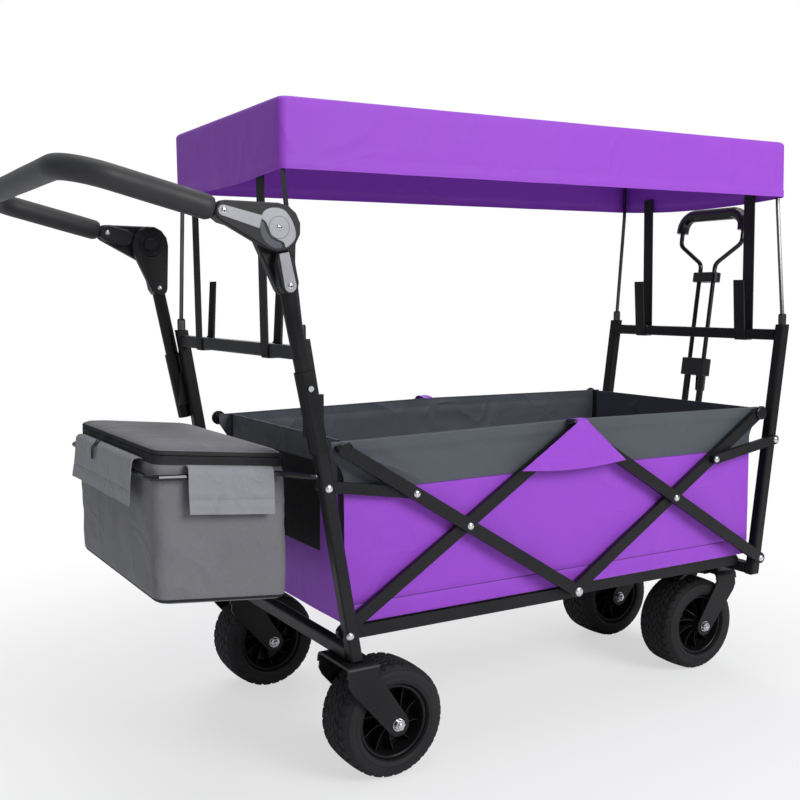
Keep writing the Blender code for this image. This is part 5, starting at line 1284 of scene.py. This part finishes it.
def side_line(x_share):
    """One upright line of the tub's side, from the bottom up to its hem."""
    levels = steps(FLOOR_EDGE, SEAM - 0.0012, 3) + [SEAM, SEAM + 0.0012]
    levels += steps(SEAM + 0.012, BAND - 0.0015, 13) + steps(BAND, 0.497, 5)
    levels += [0.499, 0.503, 0.509, 0.514, SIDE_TOP]
    line = []
    for z in levels:
        wide = 0.431 + 0.020 * min(max((z - 0.468) / 0.031, 0), 1)
        x = wide * x_share
        rise = (z - FLOOR_EDGE) / (SIDE_TOP - FLOOR_EDGE)
        swell = SWELL * math.sin(math.pi * rise) * (1 - x_share ** 6)
        ripple = wave(x, 0, z * 1.4, 0.11, 0.0024) + wave(x * 1.6, 4, z, 0.045, 0.0008)
        ripple *= math.sin(math.pi * min(max(rise, 0.02), 0.98))
        groove = -0.0009 if abs(z - SEAM) < 0.001 else 0.0
        hem = 0.0007 if z > 0.498 else 0.0
        lift = 0.0055 * (1 - abs(x_share)) * rise ** 3
        out = min(max(swell + ripple, 0.0), MOST_OUT) + groove + hem
        line.append((x, SIDE_PLANE + out, z + lift))
    line.append((line[-1][0], line[-1][1] - 0.0012, line[-1][2] + 0.0012))
    return line


def tub_side():
    """A side of the tub, with a seam near its foot and another where its colours meet, both painted dark
    as seam shade.
    """
    lines = [side_line(share) for share in steps(1, -1, 64)]
    heights = [point[2] for point in lines[0]]

    def paint(_, j):
        # The rows at the two seams take the dark purple as painted seam shade.
        if min(abs(heights[j] - SEAM + 0.0012), abs(heights[j] - BAND + 0.0015)) < 0.0002:
            return SEAM_SHADE_ROW
        return SLATE_ROW if heights[j] >= BAND - 0.0001 else PURPLE_ROW

    return doubled(grid_of(lines, paint), 0.0016, LINED)


print("finishes in the tub's sheets:", len(TUB_LOOKS))


# %% The flap
def flap_shape():
    """The flap from inside the hem, over the top and down outside the links."""
    lines = []
    for v in steps(0, 1, 22):
        over = min(v / FLAP_TURN, 1.0)
        down = max(v - FLAP_TURN, 0) / 0.84
        low, high = -0.0105 - 0.1145 * down, 0.0105 + 0.0845 * down
        line = []
        for u in steps(0, 1, 26):
            bow = 0.0065 * math.sin(math.pi * u) * down
            bend = math.sin(math.pi * over / 2)
            y = FLAP_IN + FLAP_OUT * bend + wave(low + (high - low) * u, 9, v, 0.06, 0.0016 * down)
            z = FLAP_TOP + 0.0042 * math.sin(math.pi * over) - FLAP_DROP * down - bow
            line.append((low + (high - low) * u, y, z))
        lines.append(line)
    return doubled(grid_of(lines), 0.0011)


print("flap comes down by", FLAP_DROP)


# %% The ends and their strips
def end_wall(end):
    """A stiffened end wall with taped edges, purple below and slate above, lined inside."""
    heights = [FLOOR_EDGE] + steps(0.262, 0.337, 4) + steps(0.352, BAND - 0.001, 5)
    heights += steps(BAND, 0.512, 4) + [0.516, END_TOP]
    columns = 30

    def paint(i, j):
        across = abs(1 - 2 * (i + 0.5) / columns)
        if across > 0.965:
            return TAPE_ROW
        if end < 0 and across < 0.64 and 0.336 < heights[j] < 0.47:
            return MESH_ROW
        return SLATE_ROW if heights[j] >= BAND - 0.0001 else PURPLE_ROW

    lines = []
    for share in steps(1, -1, columns):
        y = END_HALF * share * -end
        line = []
        for z in heights:
            rise = (z - FLOOR_EDGE) / (END_TOP - FLOOR_EDGE)
            swell = 0.002 * math.sin(math.pi * rise) * (1 - share ** 4)
            line.append((end * (END_X + swell + wave(end, y, z, 0.09, 0.0012)), y, z))
        lines.append(line)
    return doubled(grid_of(lines, paint), 0.0018, LINED)


def floor_strip(end):
    """A narrow strip of cloth from the foot of an end wall to the padded floor."""
    lines = []
    for y in steps(0.2215, -0.2215, 16):
        line = []
        for x in steps(0.4003, 0.4305, 5):
            line.append((end * x, end * y, FLOOR_Z + wave(x, y, 1, 0.05, 0.0003)))
        lines.append(line)
    return doubled(grid_of(lines), 0.0012)


print("end walls from", FLOOR_EDGE, "to", END_TOP)


# %% Hang the tub
def hang_tub():
    """Sides and flaps ride on the rear of the tub, each end on its own body."""
    for side_name, side in SIDES.items():
        for kind, shape, flat, area in (
            ("side", tub_side(), (0.302, 0.906), 0.246),
            ("flap", flap_shape(), (0.125, 0.222), None),
        ):
            if side < 0:
                shape = flipped(shape)
            name = "tub_%s_%s_cloth" % (kind, side_name)
            piece = new_piece(name, shape, "tub_rear", TUB_LOOKS, 60)
            if kind == "side":
                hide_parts("tub_side_" + side_name)
            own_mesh(piece)
            cut = sum(face.area for face in piece.data.polygons) / 2
            area or cut
    for end_name, end in ENDS.items():
        body = "tub_" + end_name
        piece = new_piece(body + "_end", end_wall(end), body, TUB_LOOKS, 60)
        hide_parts("tub_%s_wall" % end_name)
        # The floor strip takes the lining too, with its painted light.
        strip = new_piece(body + "_floor_strip", floor_strip(end), body, LINING_PAINTED_LIGHT, 60)
        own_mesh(strip)


hang_tub()
print("tub: two sides, two flaps, two ends, two strips")

# %% [markdown]
# ## The floor
#
# The tub's floor is padded cloth on two boards, quilted across in channels. A Boolean modifier could
# cut the channels, but padding has no sharp cuts, so a rule lowers each point that lies near a seam
# or an edge. Each half rides on its own board.


# %% Quilted floor
PAD_HALF, PAD_FROM, PAD_TO, CHANNEL, PUFF, PAD_EDGE = 0.2234, 0.0005, 0.3998, 0.050, 0.0011, 0.006


def pad_shape(end):
    """Half of the floor, with its seams pressed in and its edges turned down."""
    lines = []
    for y in steps(PAD_HALF, -PAD_HALF, 24):
        line = []
        for x in steps(PAD_FROM, PAD_TO, 72):
            seam = abs((x / CHANNEL) % 1 - 0.5) * 2
            inside = min(PAD_HALF - abs(y), x - 0.0004, 0.3999 - x)
            edge = min(inside / PAD_EDGE, 1)
            puff = PUFF * (1 - max(seam - 0.7, 0) / 0.3) * max(edge, 0) ** 0.5
            line.append((end * x, end * y, FLOOR_Z + puff))
        lines.append(line)
    return doubled(grid_of(lines), 0.0024)


for end_name, end in ENDS.items():
    body = "bed_" + end_name
    pad = new_piece("floor_pad_" + end_name, pad_shape(end), body, PAD_CLOTH, 50)
    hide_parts("floor_" + end_name)
    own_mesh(pad)
print("floor quilted")

# %% [markdown]
# ## The bag
#
# The bag behind the wagon is soft grey cloth on a wire rail. Its body is a loft: round cornered
# rings from its base up to the zip, which swell and crease a little as an empty bag does. Flaps
# folded over the rail carry it, each a short outline drawn along the rail. The lid is a shallow dome
# with the other half of the zip, and two cloth pulls hang from it. A box with a Bevel modifier would
# be quicker, but its walls would stay flat.


# %% Rings and lofts
BAG_MIDDLE, BAG_HALF_X, BAG_HALF_Y = -0.612, 0.100, 0.200
BAG_CORNER, BAG_RISE, PIPING = 0.017, 0.10, 1


def hung(x, z):
    """The bag hangs higher at its back, where the rail rises."""
    return z + BAG_RISE * (BAG_MIDDLE - x)


def bag_ring(inset, z, slack):
    """One ring of the bag. slack is how far its cloth may swell and crease."""
    radius = max(BAG_CORNER - inset * 0.3, 0.008)
    plan = round_plan(BAG_MIDDLE, BAG_HALF_X - inset, BAG_HALF_Y - inset, radius)
    ring = []
    for point in plan:
        out = Vector((point.x - BAG_MIDDLE, point.y * BAG_HALF_X / BAG_HALF_Y)).normalized()
        crease = wave(point.x, point.y, z * 0.7, 0.045, 1) * 0.6
        crease += wave(point.x, point.y, z * 2, 0.02, 0.3)
        place = point + out * slack * (0.5 + crease)
        ring.append((place.x, place.y, hung(place.x, z)))
    return ring


def bag_loft(levels, paint, closed_at_top, thick):
    """A sheet over rings of the bag, from their insets, heights and slack, closed at one end."""
    rings = [bag_ring(*level) for level in levels]
    shape = grid_of(rings, paint, around=True)
    shape.verts.ensure_lookup_table()
    count = len(rings[0])
    shape.faces.new(shape.verts[-count:] if closed_at_top else shape.verts[:count])
    return doubled(faced_out(shape, by_top=closed_at_top), thick)


print("bag's middle along X:", BAG_MIDDLE)


# %% Body and lid
def bag_body():
    """Base, walls and the lower half of the zip. A ring has an inset, a height and a slack."""
    levels = [(0.093, 0.2950, 0), (0.06, 0.2936, 0), (0.025, 0.2936, 0), (0.008, 0.2945, 0)]
    levels += [(0.0025, 0.2975, 0), (0.0005, 0.302, 0.0008)]
    for z in steps(0.309, 0.485, 16):
        levels.append((0.0005, z, 0.0048 * math.sin(math.pi * (z - 0.295) / 0.2) ** 0.6))
    levels += [(0.0015, 0.4915, 0.0004), (0.0022, 0.4925, 0), (0.0022, 0.4990, 0), (0.0022, 0.5055, 0)]

    def paint(i, _):
        return PIPING if levels[i][1] > 0.492 or i == 4 else 0

    return bag_loft(levels, paint, False, 0.0018)


def bag_lid():
    """The upper half of the zip and the shallow dome over it."""
    levels = [(0.0022, 0.5066, 0), (0.0022, 0.5105, 0), (0.0035, 0.5125, 0), (0.0050, 0.5140, 0.0004)]
    levels += [(0.012, 0.5172, 0.0008), (0.03, 0.5200, 0), (0.06, 0.5216, 0), (0.092, 0.5220, 0)]

    def paint(i, _):
        return PIPING if levels[i][1] < 0.511 else 0

    return bag_loft(levels, paint, True, 0.0014)


print("body and lid can be drawn")

# %% Flaps and zip pulls
FLAP_PATH = [(-0.001, 0.4925), (0.006, 0.4945), (0.0125, 0.4938), (0.0160, 0.4895), (0.0168, 0.480)]
FLAP_PATH += [(0.0170, 0.467), (0.0173, 0.456), (0.0175, 0.4485), (0.0168, 0.4475), (0.0176, 0.4465)]
FLAP_PATH += [(0.0180, 0.437), (0.0186, 0.4262)]


def side_flap():
    """The flap over the rail's side, drawn from its lower edge up and over."""
    lines = []
    for x in steps(-0.539, -0.667, 22):
        line = []
        for out, z in reversed(FLAP_PATH):
            bend = wave(x, 2, z, 0.04, 0.0014) * max(out, 0) / 0.017
            line.append((x, BAG_HALF_Y + out + bend, hung(x, z)))
        lines.append(line)
    return doubled(grid_of(lines), 0.0014)


def rear_flap():
    """The flap over the rail's rear, which flares out towards its lower edge."""
    lines = []
    for y in steps(0.155, -0.155, 40):
        line = []
        for out, z in reversed(FLAP_PATH):
            flare = 0.0045 * max(0.49 - z, 0) / 0.064
            flare += wave(y, 5, z, 0.05, 0.002) * max(out, 0) / 0.017
            line.append((-0.712 - out - flare, y, hung(-0.73, z) + 0.002))
        lines.append(line)
    return doubled(grid_of(lines), 0.0014)


def zip_pull(y, lean):
    """A cloth tab that hangs over the edge of the lid, leaning a little to one side."""
    path = [(-0.7150, 0, 0.5215), (-0.7335, lean / 2, 0.5000), (-0.7342, lean, 0.4830)]
    tab = [[(x, y + part + edge, z) for x, part, z in path] for edge in (0.0, 0.0036)]
    return doubled(grid_of(tab), 0.0012)


print("points down a flap:", len(FLAP_PATH))


# %% Hang the bag
def hang_bag():
    """The bag on its rail: body, lid, three flaps and two zip pulls."""
    body = new_piece("bag_cloth", bag_body(), "rear_frame", [BAG_CLOTH, WEBBING], 60)
    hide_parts("bag_body")
    lid = new_piece("bag_lid_cloth", bag_lid(), "bag_lid", [BAG_CLOTH, WEBBING], 60)
    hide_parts("bag_lid")
    for side_name, side in SIDES.items():
        shape = side_flap() if side > 0 else flipped(side_flap())
        flap = new_piece("bag_flap_" + side_name, shape, "rear_frame", FLAP_CLOTH, 60)
    flap = new_piece("bag_flap_rear", rear_flap(), "rear_frame", FLAP_CLOTH, 60)
    for name, y, lean in (("one", 0.026, 0.005), ("other", 0.040, -0.004)):
        new_piece("zip_pull_" + name, zip_pull(y, lean), "bag_lid", WEBBING)
    return len(body.data.polygons)


print("bag faces:", hang_bag())
